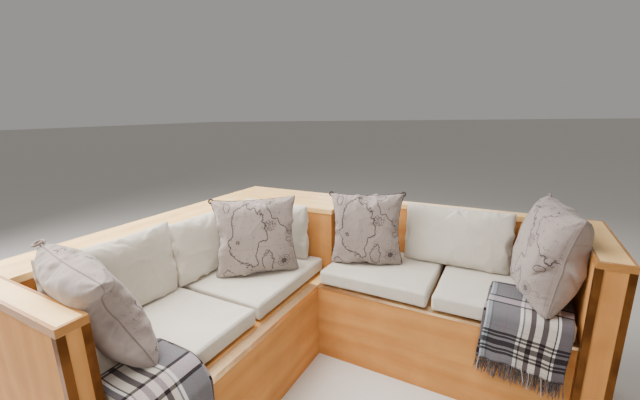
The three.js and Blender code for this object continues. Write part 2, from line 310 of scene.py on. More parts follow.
@shader_group("Tone Pores Height", grain=ORIGIN, streaks=70.0, figure=2.0)
def wood_figure(graph: Graph, grain: Signal, streaks: Signal, figure: Signal) -> Outputs:
    """The figure of a board.

    Args:
        graph: The group's graph.
        grain: Place with X along the grain.
        streaks: Streaks per metre across the grain.
        figure: How strongly the rings wander.

    Returns:
        Tone, pores and height of the grain.
    """
    drift = graph.noise(grain * (0.9, 5.0, 5.0), 1.0, 3.0, 0.4)
    rings = drift * figure + grain.parts()[1] * 9.0
    arches = graph.calc("SINE", rings * math.tau)
    lines = graph.noise(grain * graph.join(2.5, streaks, streaks), 1.0, 2.0)
    fine = graph.noise(grain * (9.0, 700.0, 700.0), 1.0, 1.0)
    tone = arches * 0.16 + drift * 0.5 + lines * 0.36 + fine * 0.12 + 0.02
    flecks = graph.noise(grain * (38.0, 1500.0, 1500.0), 1.0, 0.0)
    pores = graph.remap(flecks, 0.66, 0.76)
    return tone, pores, lines * 0.5 - pores * 0.6


@shader_group("Mask Tone", place=ORIGIN, through=0.0, facing=1.0)
def ply_layers(graph: Graph, place: Signal, through: Signal, facing: Signal) -> Outputs:
    """The layers that show on the cut edges of plywood.

    Args:
        graph: The group's graph.
        place: Place on the board.
        through: Place through its thickness.
        facing: How squarely the surface faces along the thickness.

    Returns:
        Where a cut edge is, and its tone.
    """
    layer = graph.remap(graph.calc("SINE", through * (math.tau / 0.0051)), -0.25, 0.25)
    rough = graph.noise(place * (260.0, 260.0, 260.0), 1.0, 2.0)
    return graph.remap(facing, 0.75, 0.5), rough * 0.35 + layer * 0.65


@shader_group("Mask Edge", place=ORIGIN, width=0.003)
def edge_wear(graph: Graph, place: Signal, width: Signal) -> Outputs:
    """A broken band of wear along edges.

    Args:
        graph: The group's graph.
        place: Place on the piece.
        width: Width of the band in metres.

    Returns:
        Worn patches along edges, and the edges themselves.
    """
    softened = graph.add("Bevel", {"Radius": width}, samples=4)[0]
    inputs = {0: softened, 1: graph.add("NewGeometry")["Normal"]}
    edge = graph.remap(graph.add("VectorMath", inputs, operation="DOT_PRODUCT")["Value"], 0.995, 0.86)
    return edge * graph.remap(graph.noise(place, 22.0, 4.0), 0.42, 0.62), edge


@shader_group("Smears Scratches", place=ORIGIN)
def handling(graph: Graph, place: Signal) -> Outputs:
    """Smears and fine scratches that come with use.

    Args:
        graph: The group's graph.
        place: Place on the piece.

    Returns:
        Smears, and scratches where they are.
    """
    smears = graph.noise(place, 6.0, 4.0, 0.6)
    across = graph.noise(place * (14.0, 900.0, 420.0), 1.0, 1.0, 0.3)
    along = graph.noise(place * (640.0, 22.0, 500.0), 1.0, 1.0, 0.3)
    lines = graph.most(graph.remap(across, 0.7, 0.76), graph.remap(along, 0.72, 0.78))
    return smears, lines * graph.remap(smears, 0.5, 0.62)


@shader_group("Place")
def panel_place(graph: Graph) -> Outputs:
    """A place on a sewn panel, from the side of the cushion that the panel covers.

    Args:
        graph: The group's graph.

    Returns:
        The place in metres.
    """
    source = graph.add("TexCoord")
    x, y, z = source["Object"].parts()
    side, front, top = (abs(part) for part in source["Normal"].parts())
    on_top = graph.calc("GREATER_THAN", top, graph.most(side, front))
    on_end = graph.calc("GREATER_THAN", side, graph.most(front, top))
    return (graph.join(graph.choose(on_end, x, y), graph.choose(on_top, z, y)),)


@shader_group("Height Slub Over", place=ORIGIN, threads=700.0, thickness=0.8)
def plain_weave(graph: Graph, place: Signal, threads: Signal, thickness: Signal) -> Outputs:
    """Threads over and under each other, with slubs.

    Args:
        graph: The group's graph.
        place: Place on the cloth.
        threads: Threads per metre.
        thickness: Height of the slubs.

    Returns:
        Height, slubs, and where the warp lies over the weft.
    """
    x, y, _ = place.parts()
    warp = graph.calc("SINE", x * threads * math.pi)
    weft = graph.calc("SINE", y * threads * math.pi)
    over = graph.calc("GREATER_THAN", warp * weft, 0.0)
    rise = graph.choose(over, abs(weft), abs(warp))
    slubs = [graph.noise(place * way, 1.0, 1.0) for way in ((520.0, 16.0, 1.0), (16.0, 520.0, 1.0))]
    slub = graph.most(*slubs)
    return slub * thickness + rise, slub, over


@shader_group("Height Crease", place=ORIGIN, scale=9.0)
def soft_folds(graph: Graph, place: Signal, scale: Signal) -> Outputs:
    """Faint creases and pressed places in a loose cover.

    Args:
        graph: The group's graph.
        place: Place on the cover.
        scale: Creases per metre.

    Returns:
        Height, and the creases as a mask for painted shade in the cloth's colour.
    """
    scaled = place * graph.join(scale, scale, scale)
    ridge = abs(graph.noise(scaled, 1.0, 3.0, 1.2) - 0.5)
    crease = graph.calc("POWER", 1.0 - ridge * 2.0, 7.0)
    crease = crease * graph.remap(graph.noise(scaled, 0.35, 1.0), 0.42, 0.6)
    return crease * 0.5 + graph.noise(scaled, 0.6, 1.0), crease


@shader_group("Line", place=ORIGIN, centre=ORIGIN, size=(0.1, 0.1, 1.0), scale=20.0, width=0.004)
def coast(
    graph: Graph, place: Signal, centre: Signal, size: Signal, scale: Signal, width: Signal
) -> Outputs:
    """The outline of one piece of land, an ellipse whose shore wanders with a noise field.

    Args:
        graph: The group's graph.
        place: Place on the chart.
        centre: Middle of the land.
        size: Its half sizes.
        scale: Scale of the noise.
        width: Width of the line in metres.

    Returns:
        The line.
    """
    step, wander = 0.002, 1.6

    def inwards(x: float, y: float) -> Signal:
        """How far a place beside this one lies inside the shore, in half sizes."""
        reach = graph.length((place + (x, y, 0.0) - centre) / size * (1.0, 1.0, 0.0))
        return 1.0 - reach - (graph.noise(place + (x, y, 0.0), scale, 5.0, 0.4) - 0.5) * wander

    here = inwards(0.0, 0.0)
    slopes = [inwards(*shift) - here for shift in ((step, 0.0), (0.0, step))]
    steep = graph.calc("SQRT", slopes[0] * slopes[0] + slopes[1] * slopes[1])
    away = abs(here) / graph.most(steep / step, 0.8)
    return (graph.remap(away / width, 0.62, 0.42),)


# Middle and half sizes of each land, scale of its shore and width of the line
LANDS = (
    ((-0.045, 0.030), (0.085, 0.135), 13.0, 0.0052),
    ((0.235, 0.170), (0.150, 0.150), 12.0, 0.0046),
    ((0.050, -0.115), (0.026, 0.050), 30.0, 0.0044),
    ((-0.160, -0.175), (0.030, 0.022), 40.0, 0.0034),
    ((-0.150, 0.165), (0.018, 0.024), 50.0, 0.0032),
    ((0.170, -0.020), (0.020, 0.014), 50.0, 0.0030),
)
ROSE_AT = (0.135, -0.125)
SQUALL_AT = (0.062, 0.052)
MARK_AT = (-0.094, -0.008)
# Shifts of the sailing lines and the distance between them
SAILING_LINES = (0.02, 0.045)
SAILING_GAP = 0.12


def beside(place: Signal, spot: tuple[float, float]) -> list[Signal]:
    """How far a place lies from a spot to the right and above."""
    return [part - at for part, at in zip(place.parts(), spot)]


def rose(graph: Graph, place: Signal) -> Signal:
    """A compass rose with a dark middle, two rings and eight rays.

    Args:
        graph: The graph that gets the nodes.
        place: Place on the chart.

    Returns:
        Its ink.
    """
    dx, dy = beside(place, ROSE_AT)
    reach = graph.length(graph.join(dx, dy))
    turn = graph.calc("ARCTAN2", dy, dx) * 4.0
    spoke = abs(graph.calc("SINE", turn)) * reach
    rays = graph.remap(spoke, 0.006, 0.003) * graph.remap(reach, 0.1, 0.03, 0.0, 0.45)
    star = graph.remap(abs(graph.calc("COSINE", turn)) * 0.004 + 0.014 - reach, 0.0, 0.002)
    rings = [graph.remap(abs(reach - size), 0.0016, 0.0008) for size in (0.022, 0.031)]
    return graph.most(rays, star, *rings)


@shader_group("Ink", place=ORIGIN, side=1.0)
def chart_print(graph: Graph, place: Signal, side: Signal) -> Outputs:
    """A made-up sea chart for a pillow's face, with shores, a rose, broken water and sailing lines.

    Args:
        graph: The group's graph.
        place: Place on the flat cut.
        side: 1 on the printed face and -1 on the back.

    Returns:
        The ink.
    """
    inks = []
    for centre, size, scale, width in LANDS:
        given = {"centre": (*centre, 0.0), "size": (*size, 1.0), "scale": scale, "width": width}
        inks.append(coast(graph, place=place, **given)["Line"])
    shoals = graph.remap(abs(graph.noise(place, 17.0, 4.0) - 0.5), 0.014, 0.006, 0.0, 0.5)
    inks.append(shoals * graph.remap(graph.noise(place, 60.0, 1.0), 0.5, 0.6))
    inks.append(rose(graph, place))
    dx, dy = beside(place, SQUALL_AT)
    near = graph.remap(graph.length(graph.join(dx, dy * 1.5)), 0.046, 0.028)
    inks.append(graph.remap(abs(graph.noise(place, 55.0, 3.0, 1.5) - 0.5), 0.07, 0.03) * near)
    # A small mark of two pairs of crossed strokes
    mark = [abs(part) for part in beside(place, MARK_AT)]
    for across, along in (mark, mark[::-1]):
        stroke = graph.remap(abs(across - 0.004), 0.0026, 0.0012)
        inks.append(stroke * graph.remap(along, 0.011, 0.009))
    for part, shift in zip(place.parts(), SAILING_LINES):
        cell = graph.calc("PINGPONG", part + shift, SAILING_GAP)
        inks.append(graph.remap(cell, 0.0012, 0.0004, 0.0, 0.35))
    worn = graph.remap(graph.noise(place, 260.0, 2.0), 0.3, 0.55, 0.55, 1.0)
    return (graph.most(*inks) * worn * graph.remap(side, 0.5, 0.9),)


@dataclass(frozen=True)
class Yarn:
    """A yarn of the throws.

    Attributes:
        colour: Its colour.
        cover: How much of a crossing yarn it hides.
    """

    colour: Colour
    cover: float = 0.3


PALE = Yarn(srgb(176, 184, 190))
MIST = Yarn(srgb(142, 150, 156))
SLATE = Yarn(srgb(84, 92, 100))
GREY = Yarn(srgb(108, 106, 111))
GROUND = Yarn(srgb(132, 130, 134), 0.22)
VIOLET = Yarn(srgb(86, 78, 83))
RED = Yarn(srgb(120, 94, 98), 0.4)
WHITE = Yarn(srgb(232, 230, 224))
CREAM = Yarn(srgb(212, 204, 192))
TAUPE = Yarn(srgb(66, 54, 52))
BLACK = Yarn(srgb(30, 21, 26), 0.86)
ROSE = Yarn(srgb(196, 180, 188), 0.5)

# Yarn and width in millimetres of each stripe, counted from the left edge of a folded throw
Stripes = tuple[tuple[Yarn, float], ...]
WARP_STRIPES: Stripes = (
    (PALE, 9), (MIST, 13), (SLATE, 8), (GREY, 50), (RED, 4), (GREY, 43), (WHITE, 11), (GREY, 6), (CREAM, 21),
    (TAUPE, 18), (CREAM, 25), (TAUPE, 19), (CREAM, 26), (TAUPE, 5), (WHITE, 8), (VIOLET, 46),
)
# Half of the cross stripes, from the middle of a wide dark band
HALF_WEFT: Stripes = (
    (BLACK, 12.5), (GROUND, 12), (BLACK, 11), (GROUND, 6), (BLACK, 11), (GROUND, 24), (RED, 3),
    (GROUND, 109), (BLACK, 12), (ROSE, 23),
)
WEFT_STRIPES = HALF_WEFT + HALF_WEFT[::-1]


def stripes_ramp(graph: Graph, place: Signal, stripes: Stripes) -> Node:
    """Colours of repeating stripes.

    Args:
        graph: The graph that gets the nodes.
        place: Distance across the stripes in metres.
        stripes: Yarn and width of each stripe.

    Returns:
        A node with the stripe's colour and with how much it hides.
    """
    repeat = sum(width for _, width in stripes) * MM
    ramp = graph.add("ValToRGB", {0: graph.calc("FRACT", place / repeat)})
    shades = ramp.node.color_ramp
    shades.interpolation = "CONSTANT"
    shades.elements.remove(shades.elements[-1])
    start = 0.0
    for index, (yarn, width) in enumerate(stripes):
        stop = shades.elements.new(start / repeat) if index else shades.elements[0]
        stop.position, stop.color = start / repeat, (*yarn.colour[:3], yarn.cover)
        start += width * MM
    return ramp


@shader_group("Color Height Fluff", place=ORIGIN)
def tartan(graph: Graph, place: Signal) -> Outputs:
    """A twill of two sets of coloured stripes.

    Args:
        graph: The group's graph.
        place: Place on the flat throw.

    Returns:
        Colour, height and fluff.
    """
    x, y, _ = place.parts()
    warp = stripes_ramp(graph, x, WARP_STRIPES)[0]
    weft = stripes_ramp(graph, y, WEFT_STRIPES)
    rib = graph.calc("SINE", (x + y) * (math.tau * 330.0))
    yarn = abs(graph.calc("SINE", x * (math.pi * 760.0)))
    fluff = graph.noise(place * (320.0, 320.0, 1.0), 1.0, 3.0)
    rough = fluff * 0.4 + rib * 0.12 - 0.2
    over = graph.calc("MULTIPLY_ADD", rough, 1.0 - weft[1], weft[1], clamp=True)
    return graph.mix(over, warp, weft[0]), yarn * 0.4 + rib * 0.5 + fluff, fluff


# Finishes


@dataclass(frozen=True)
class Finish:
    """What every finish has: materials with one Principled shader, each made once.

    Attributes:
        name: The material's name.
    """

    name: str
    made: ClassVar[dict[str, bpy.types.Material]] = {}

    def material(self, *aspects: object) -> bpy.types.Material:
        """The finish's material.

        Args:
            aspects: What it is made for, as paint() takes it.

        Returns:
            The material.
        """
        key = "_".join(["settee", self.name, *map(str, aspects)])
        if key not in self.made:
            self.made[key] = material = bpy.data.materials.new(key)
            material.use_nodes = True
            self.paint(Graph(material.node_tree), *aspects)
        return self.made[key]

    def paint(self, graph: Graph, *aspects: object) -> None:
        """Wires a material for what it is made for."""
        raise NotImplementedError

    @staticmethod
    def bump(graph: Graph, *layers: tuple[Value, float, float]) -> Signal:
        """Heights stacked into a normal.

        Args:
            graph: The material's graph.
            layers: Height, distance in metres and strength of each layer.

        Returns:
            The normal.
        """
        under: dict[str, Signal] = {}
        for height, distance, strength in layers:
            inputs = {"Height": height, "Distance": distance, "Strength": strength}
            under = {"Normal": graph.add("Bump", {**inputs, **under})[0]}
        return under["Normal"]


@dataclass(frozen=True)
class Lipping:
    """A darker band glued round the edge of a pale board.

    Attributes:
        name: Name of the board.
        low: The board's lowest corner.
        high: The board's highest corner.
        width: Width of the band in metres.
        colour: The band's colour.
        glue: Colour of the joint beside it.
    """

    name: str
    low: Sequence[float]
    high: Sequence[float]
    width: float = 0.010
    colour: Colour = srgb(178, 124, 66)
    glue: Colour = srgb(96, 62, 30)

    def __str__(self) -> str:
        """The board's name."""
        return self.name

    def paint(self, graph: Graph, place: Signal, colour: Signal) -> Signal:
        """Lays the band over a colour.

        Args:
            graph: The material's graph.
            place: Place on the board.
            colour: The board's colour.

        Returns:
            The colour with its band.
        """
        sides = [
            (high - low) / 2 - abs(part - (low + high) / 2)
            for part, low, high in zip(place.parts()[:2], self.low, self.high)
        ]
        nearest = graph.calc("MINIMUM", *sides)
        band = graph.remap(nearest, self.width + 0.0004, self.width - 0.0004)
        joint = graph.remap(abs(nearest - self.width), 0.0009, 0.0003)
        streak = graph.noise(place * (30.0, 30.0, 500.0), 1.0, 2.0)
        tinted = graph.shaded(self.colour, graph.remap(streak, 0.2, 0.8, 0.85, 1.1))
        return graph.mix(joint * 0.7, graph.mix(band, colour, tinted), self.glue)


@dataclass(frozen=True)
class Timber(Finish):
    """Wood with its grain along a board.

    Attributes:
        dark: Colour of the darkest figure.
        light: Colour of the lightest figure.
        edge: Colour of worn edges.
        streaks: Streaks per metre across the grain.
        figure: How strongly the rings wander.
        roughness: Roughness of the surface.
        coat: Weight of the varnish.
        specular: Strength of the wood's own reflection.
        ply: True if cut edges show layers.
        relief: Height of the grain in metres.
    """

    dark: Colour
    light: Colour
    edge: Colour
    streaks: float = 70.0
    figure: float = 2.0
    roughness: float = 0.38
    coat: float = 0.6
    specular: float = 0.3
    ply: bool = False
    relief: float = 0.0001

    def paint(self, graph: Graph, run: Axis, through: Axis, *lipping: Lipping) -> None:
        """Wires the wood for boards that lie one way.

        Args:
            graph: The material's graph.
            run: Direction of the grain.
            through: Direction of the board's thickness.
            lipping: The band along the board's edge, if it has one.
        """
        source = graph.add("TexCoord")
        place = source["Object"]
        parts = place.parts()
        rest = next(axis for axis in Axis if axis not in (run, through))
        grain = graph.join(parts[run], parts[rest], parts[through])
        figure = wood_figure(graph, grain=grain, streaks=self.streaks, figure=self.figure)
        colour = graph.mix(figure["Tone"], self.dark, self.light)
        colour = graph.mix(figure["Pores"] * 0.35, colour, self.dark)
        if self.ply:
            facing = abs(source["Normal"].parts()[through])
            layers = ply_layers(graph, place=place, through=parts[through], facing=facing)
            cut = graph.mix(layers["Tone"], self.dark, self.light)
            colour = graph.mix(layers["Mask"], colour, cut)
        for band in lipping:
            colour = band.paint(graph, place, colour)
        use = handling(graph, place=place)
        wear = edge_wear(graph, place=place, width=0.003)
        colour = graph.shaded(colour, graph.remap(use["Smears"], 0.25, 0.75, 0.9, 1.06))
        heights = (figure["Height"], self.relief, 0.6), (use["Scratches"] * -1.0, 0.00005, 0.5)
        graph.shade({
            "Base Color": graph.mix(wear["Mask"] * 0.55, colour, self.edge),
            "Roughness": use["Smears"] * 0.14 + use["Scratches"] * 0.2 + (self.roughness - 0.07),
            "Coat Weight": self.coat,
            "Coat Roughness": 0.15,
            "Specular IOR Level": self.specular,
            "Normal": self.bump(graph, *heights),
        })


@dataclass(frozen=True)
class Bronze(Finish):
    """Bronze-coloured metal, brushed along its length and darkened with age.

    Attributes:
        bright: Colour where hands and feet keep it clean.
        aged: Colour where it has darkened.
        roughness: Roughness of the clean metal.
    """

    bright: Colour
    aged: Colour
    roughness: float = 0.27

    def paint(self, graph: Graph, run: Axis) -> None:
        """Wires the metal for angles that run one way.

        Args:
            graph: The material's graph.
            run: Direction of the angle's length.
        """
        place = graph.solid()
        scales = tuple(5.0 if axis is run else 900.0 for axis in Axis)
        brushed = graph.noise(place * scales, 1.0, 2.0)
        use = handling(graph, place=place)
        rubbed = edge_wear(graph, place=place, width=0.004)["Edge"] * 0.7
        aged = graph.calc("SUBTRACT", graph.remap(use["Smears"], 0.38, 0.66), rubbed, clamp=True)
        colour = graph.mix(aged * 0.55, self.bright, self.aged)
        heights = (brushed, 0.00004, 0.5), (use["Scratches"], 0.00004, 0.4)
        graph.shade({
            "Base Color": graph.shaded(colour, graph.remap(brushed, 0.2, 0.8, 0.86, 1.1)),
            "Roughness": brushed * 0.12 + aged * 0.16 + self.roughness,
            "Metallic": 1.0,
            "Normal": self.bump(graph, *heights),
        })


@dataclass(frozen=True)
class Canvas(Finish):
    """Plain-woven cotton and linen.

    Attributes:
        colour: Colour of the cloth.
        shade: Darker colour for the cloth's uneven tone, weave and closure line, and painted shade deep in
            its creases.
        threads: Threads per metre.
        folds: Scale of the faint creases.
        ink: Colour of the print, or None for plain cloth.
    """

    colour: Colour
    shade: Colour
    threads: float = 760.0
    folds: float = 9.0
    ink: Colour | None = None

    def paint(self, graph: Graph) -> None:
        """Wires the cloth, printed on its flat cut or plain on the panels of a cushion.

        Args:
            graph: The material's graph.
        """
        solid = graph.solid()
        if self.ink is None:
            place = panel_place(graph)["Place"]
        else:
            x, y, side = graph.flat().parts()
            place = graph.join(x, y)
        weave = plain_weave(graph, place=place, threads=self.threads, thickness=0.9)
        folds = soft_folds(graph, place=solid, scale=self.folds)
        tone = weave["Slub"] * 0.5 + graph.noise(solid, 5.0, 3.0) * 0.5
        colour = graph.mix(graph.remap(tone, 0.35, 0.75, 0.0, 0.34), self.colour, self.shade)
        # Painted shade: the cloth is darkened towards its shade colour along the creases
        colour = graph.mix(folds["Crease"] * 0.18, colour, self.shade)
        colour = graph.mix(weave["Over"] * 0.06, colour, self.shade)
        if self.ink is not None:
            printed = chart_print(graph, place=place, side=side)["Ink"]
            colour = graph.mix(printed * 0.92, colour, self.ink)
            hem = graph.remap(abs(y - CLOSURE_AT), 0.0022, 0.0012)
            hem = hem * graph.calc("LESS_THAN", side, -0.5)
            colour = graph.mix(hem * 0.6, colour, self.shade)
        heights = (folds["Height"], 0.003, 0.35), (weave["Height"], 0.00028, 0.5)
        graph.shade({
            "Base Color": colour,
            "Roughness": graph.remap(weave["Slub"], 0.3, 0.8, 0.84, 0.95),
            "Sheen Weight": 0.25,
            "Sheen Roughness": 0.5,
            "Specular IOR Level": 0.25,
            "Normal": self.bump(graph, *heights),
        })


@dataclass(frozen=True)
class Twill(Finish):
    """Brushed wool twill in coloured stripes, read from the places on the flat cut."""

    def paint(self, graph: Graph) -> None:
        """Wires the wool.

        Args:
            graph: The material's graph.
        """
        flat = graph.flat()
        cloth = tartan(graph, place=flat)
        folds = soft_folds(graph, place=flat, scale=14.0)
        heights = (folds["Height"], 0.002, 0.3), (cloth["Height"], 0.0005, 0.6)
        graph.shade({
            "Base Color": graph.shaded(cloth["Color"], graph.remap(cloth["Fluff"], 0.25, 0.75, 0.82, 1.12)),
            "Roughness": graph.remap(cloth["Fluff"], 0.3, 0.7, 0.86, 0.97),
            "Sheen Weight": 0.25,
            "Sheen Roughness": 0.4,
            "Specular IOR Level": 0.15,
            "Normal": self.bump(graph, *heights),
        })


@dataclass(frozen=True)
class Fringe(Finish):
    """Twisted warp ends, in the colours of the warp, most of them mixed towards a dark colour.

    Attributes:
        dark: Colour that most of the ends lean to.
    """

    dark: Colour

    def paint(self, graph: Graph) -> None:
        """Wires the fringe.

        Args:
            graph: The material's graph.
        """
        across, _, tassel = graph.flat().parts()
        warp = stripes_ramp(graph, across, WARP_STRIPES)[0]
        colour = graph.mix(graph.remap(tassel, 0.1, 0.24, 0.1, 0.92), warp, self.dark)
        fluff = graph.noise(graph.solid(), 900.0, 2.0)
        graph.shade({
            "Base Color": graph.shaded(colour, graph.remap(fluff, 0.3, 0.7, 0.75, 1.15)),
            "Roughness": graph.remap(fluff, 0.3, 0.7, 0.85, 0.97),
            "Sheen Weight": 0.4,
            "Normal": self.bump(graph, (fluff, 0.0004, 0.6)),
        })


PANEL_PLY = Timber(
    "panel_ply", srgb(192, 128, 70), srgb(220, 164, 99), srgb(232, 186, 126), streaks=46.0, figure=1.6,
    roughness=0.5, coat=0.0, specular=0.04, ply=True,
)
LEDGE_MAPLE = Timber(
    "ledge_maple", srgb(232, 182, 112), srgb(254, 220, 158), srgb(254, 236, 196), streaks=60.0, figure=1.2,
    roughness=0.38, coat=0.12, specular=0.25,
)
FRAMING_PINE = Timber(
    "framing_pine", srgb(168, 116, 62), srgb(214, 172, 112), srgb(226, 190, 136), streaks=34.0, figure=3.2,
    roughness=0.62, coat=0.0, relief=0.0003,
)
EDGE_BRONZE = Bronze("edge_bronze", srgb(244, 216, 176), srgb(176, 130, 84))
# Darker copy of the edge bronze for the arm strips, with the shade that they stand in painted into its colour
SHADED_STRIP_BRONZE = Bronze("strip_bronze", srgb(128, 84, 44), srgb(74, 42, 20), roughness=0.36)
SEAT_CANVAS = Canvas("seat_canvas", srgb(214, 208, 196), srgb(176, 166, 150))
PILLOW_LINEN = Canvas(
    "printed_linen", srgb(166, 153, 147), srgb(122, 108, 102), threads=620.0, folds=13.0, ink=srgb(46, 36, 42)
)
DARK_PIPING = Canvas("piping_dark", srgb(82, 70, 68), srgb(50, 42, 42), threads=900.0, folds=30.0)
# Paler copy of the dark piping, with the window light on the end pillows' seams painted into its colour
PAINTED_LIT_PIPING = Canvas("piping_light", srgb(140, 126, 119), srgb(100, 88, 83), threads=900.0, folds=30.0)
THROW_WOOL = Twill("throw_wool")
THROW_FRINGE = Fringe("throw_fringe", srgb(64, 50, 50))


# Boards, rails and metal


@dataclass
class Joinery:
    """The settee's boards, framing and metal angles, which keep their own solids.

    Attributes:
        words: Words in the names of each finish's nodes, the first that fits counting.
        round_off: How far wood edges are eased.
        metal_round_off: How far metal edges are eased.
    """

    words: tuple[tuple[Slot, tuple[str, ...]], ...] = (
        (Slot.FRAMING, ("wall_post", "rail", "ledger")),
        (Slot.EDGE, ("edge_angle", "arm_strip")),
        (Slot.LEDGE, ("ledge", "arm_cap", "corner_filler")),
        (Slot.PANEL, ("panel", "board", "bulkhead", "corner_box", "arm_post")),
    )
    round_off: float = 0.0014
    metal_round_off: float = 0.0006

    def slot_of(self, node: str) -> Slot | None:
        """The finish of a node, or None for a soft one."""
        return next((slot for slot, words in self.words if any(word in node for word in words)), None)

    @staticmethod
    def finish_for(node: str, slot: Slot) -> bpy.types.Material:
        """The material of one node.

        Args:
            node: The node's name.
            slot: Its finish.

        Returns:
            The material.
        """
        low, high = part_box(node)
        through, _, run = sorted(Axis, key=lambda axis: high[axis] - low[axis])
        if slot is Slot.EDGE:
            # The arm strips take the bronze copy with painted shade
            return (SHADED_STRIP_BRONZE if "strip" in node else EDGE_BRONZE).material(run)
        wood = {Slot.FRAMING: FRAMING_PINE, Slot.PANEL: PANEL_PLY, Slot.LEDGE: LEDGE_MAPLE}[slot]
        return wood.material(run, through, *([Lipping(node, low, high)] if "arm_cap" in node else []))

    def dress(self) -> None:
        """Gives each node its material and eased edges."""
        for name, node in sorted(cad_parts.items()):
            slot = self.slot_of(name)
            if slot is None:
                continue
            node.data.materials.clear()
            node.data.materials.append(self.finish_for(name, slot))
            eased = node.modifiers.new("eased_edges", "BEVEL")
            width = self.metal_round_off if slot is Slot.EDGE else self.round_off
            adjust(eased, width=width, segments=2, limit_method="ANGLE", harden_normals=False)
            LOG.info("dressed %s as %s", name, slot.value)


# Meshes


Face = Sequence[int]


@dataclass
class Cover:
    """Points and faces of a sewn cover before it is filled.

    Attributes:
        points: One row of X, Y and Z for each vertex.
        quads: Vertex numbers of each face.
        flat: Place of each vertex on the flat cut, and its side.
        seams: Closed rows of vertex numbers along the seams.
    """

    points: Array
    quads: list[Face]
    flat: Array
    seams: list[list[int]]


Key = tuple[int, ...]


def weld(
    panels: Iterable[tuple[int, int, bool, Callable[[int, int], Key]]]
) -> tuple[dict[Key, int], list[Face]]:
    """Joins grids of faces where they share corners.

    Args:
        panels: Columns and rows of each grid, whether it faces outwards, and what names its corners.

    Returns:
        The vertex number of each corner's name, and the faces.
    """
    numbers: dict[Key, int] = {}
    faces = []
    for columns, rows, outwards, name in panels:
        for i, j in np.ndindex(columns, rows):
            names = [name(i + di, j + dj) for di, dj in ((0, 0), (1, 0), (1, 1), (0, 1))]
            ring = [numbers.setdefault(key, len(numbers)) for key in names]
            faces.append(ring if outwards else ring[::-1])
    return numbers, faces


def ticks(length: float, cell: float, edge: float) -> Array:
    """Places along a side that lie closer together near its ends.

    Args:
        length: The side's length.
        cell: Distance between places in the middle.
        edge: Length of each end, which has three steps.

    Returns:
        The places, from minus half to plus half the length.
    """
    half = length / 2
    middle = np.linspace(-half + edge, half - edge, max(2, round((length - 2 * edge) / cell) + 1))
    end = np.linspace(0, edge, 4)[:-1]
    return np.concatenate([-half + end, middle, (half - end)[::-1]])


def rim(columns: int, rows: int) -> list[tuple[int, int]]:
    """The corners round a grid of faces."""
    low = [(i, 0) for i in range(columns)] + [(columns, j) for j in range(rows)]
    return low + [(i, rows) for i in range(columns, 0, -1)] + [(0, j) for j in range(rows, 0, -1)]


def boxed_cover(size: Sequence[float], cell: float, edge: float) -> Cover:
    """A box cushion's cover with rounded edges, standing on Z 0.

    Args:
        size: Width, depth and height.
        cell: Size of a face in metres.
        edge: Radius of the edges.

    Returns:
        The cover, with seams round the top and the bottom panel.
    """
    axes = [ticks(length, cell, edge) for length in size]
    last = [len(axis) - 1 for axis in axes]

    def name(axis: int, side: int, i: int, j: int) -> Key:
        """A corner on one side of the box, as its places along X, Y and Z."""
        key = (side, i, j)
        return key[-axis:] + key[:-axis]

    numbers, quads = weld(
        (last[(axis + 1) % 3], last[(axis + 2) % 3], side > 0, partial(name, axis, side))
        for axis in range(3) for side in (0, last[axis])
    )
    raw = np.stack([axis[part] for axis, part in zip(axes, np.array(list(numbers)).T)], 1)
    inner = np.array(size) / 2 - edge
    core = np.clip(raw, -inner, inner)
    points = core + unit(raw - core) * edge + (0, 0, size[2] / 2)
    seams = [[numbers[i, j, level] for i, j in rim(last[0], last[1])] for level in (0, last[2])]
    return Cover(points, quads, np.zeros((len(points), 3)), seams)


def two_panel_cover(width: float, height: float, cell: float, belly: float) -> Cover:
    """Two panels sewn together round their edge, on Z 0 with the face towards -Y.

    Args:
        width: Width of a panel.
        height: Height of a panel.
        cell: Size of a face in metres.
        belly: How far each panel stands off the seam.

    Returns:
        The cover.
    """
    across = np.linspace(-1, 1, round(width / cell) + 1)
    up = np.linspace(-1, 1, round(height / cell) + 1)
    last_i, last_j = len(across) - 1, len(up) - 1

    def name(panel: int, i: int, j: int) -> Key:
        """A corner of one panel, which both share at the seam."""
        return i, j, 0 if i in (0, last_i) or j in (0, last_j) else panel

    numbers, quads = weld((last_i, last_j, panel > 0, partial(name, panel)) for panel in (1, -1))
    i, j, panel = np.array(list(numbers)).T
    u, v = across[i], up[j]
    crown = np.sqrt(np.maximum(0.0, (1 - u * u) * (1 - v * v)))
    points = np.stack([u * width / 2, -panel * belly * crown, (v + 1) * height / 2], 1)
    flat = np.stack([u * width / 2, v * height / 2, panel], 1)
    return Cover(points, quads, flat, [[numbers[i, j, 0] for i, j in rim(last_i, last_j)]])


def mesh_object(
    name: str, points: Array, faces: Iterable[Face], flat: Array | None = None
) -> Object:
    """Makes a smooth mesh object in the scene.

    Args:
        name: The object's name.
        points: Its vertices.
        faces: Its faces.
        flat: Places on the flat cut, kept as an attribute.

    Returns:
        The object.
    """
    mesh = bpy.data.meshes.new(name)
    mesh.from_pydata(points.tolist(), [], faces)
    mesh.shade_smooth()
    if flat is not None:
        held = mesh.attributes.new(FLAT, "FLOAT_VECTOR", "POINT")
        held.data.foreach_set("vector", np.asarray(flat, np.float32).ravel())
    made = bpy.data.objects.new(name, mesh)
    bpy.context.scene.collection.objects.link(made)
    return made


def read_points(obj: Object, attribute: str = "position") -> Array:
    """A vector of each vertex of a mesh.

    Args:
        obj: The mesh object.
        attribute: The vector's name, by default its place in its own frame.

    Returns:
        One row for each vertex.
    """
    out = np.zeros(len(obj.data.vertices) * 3)
    obj.data.attributes[attribute].data.foreach_get("vector", out)
    return out.reshape(-1, 3)


def write_points(obj: Object, points: Array) -> None:
    """Moves a mesh's vertices."""
    obj.data.vertices.foreach_set("co", points.astype(np.float32).ravel())
    obj.data.update()


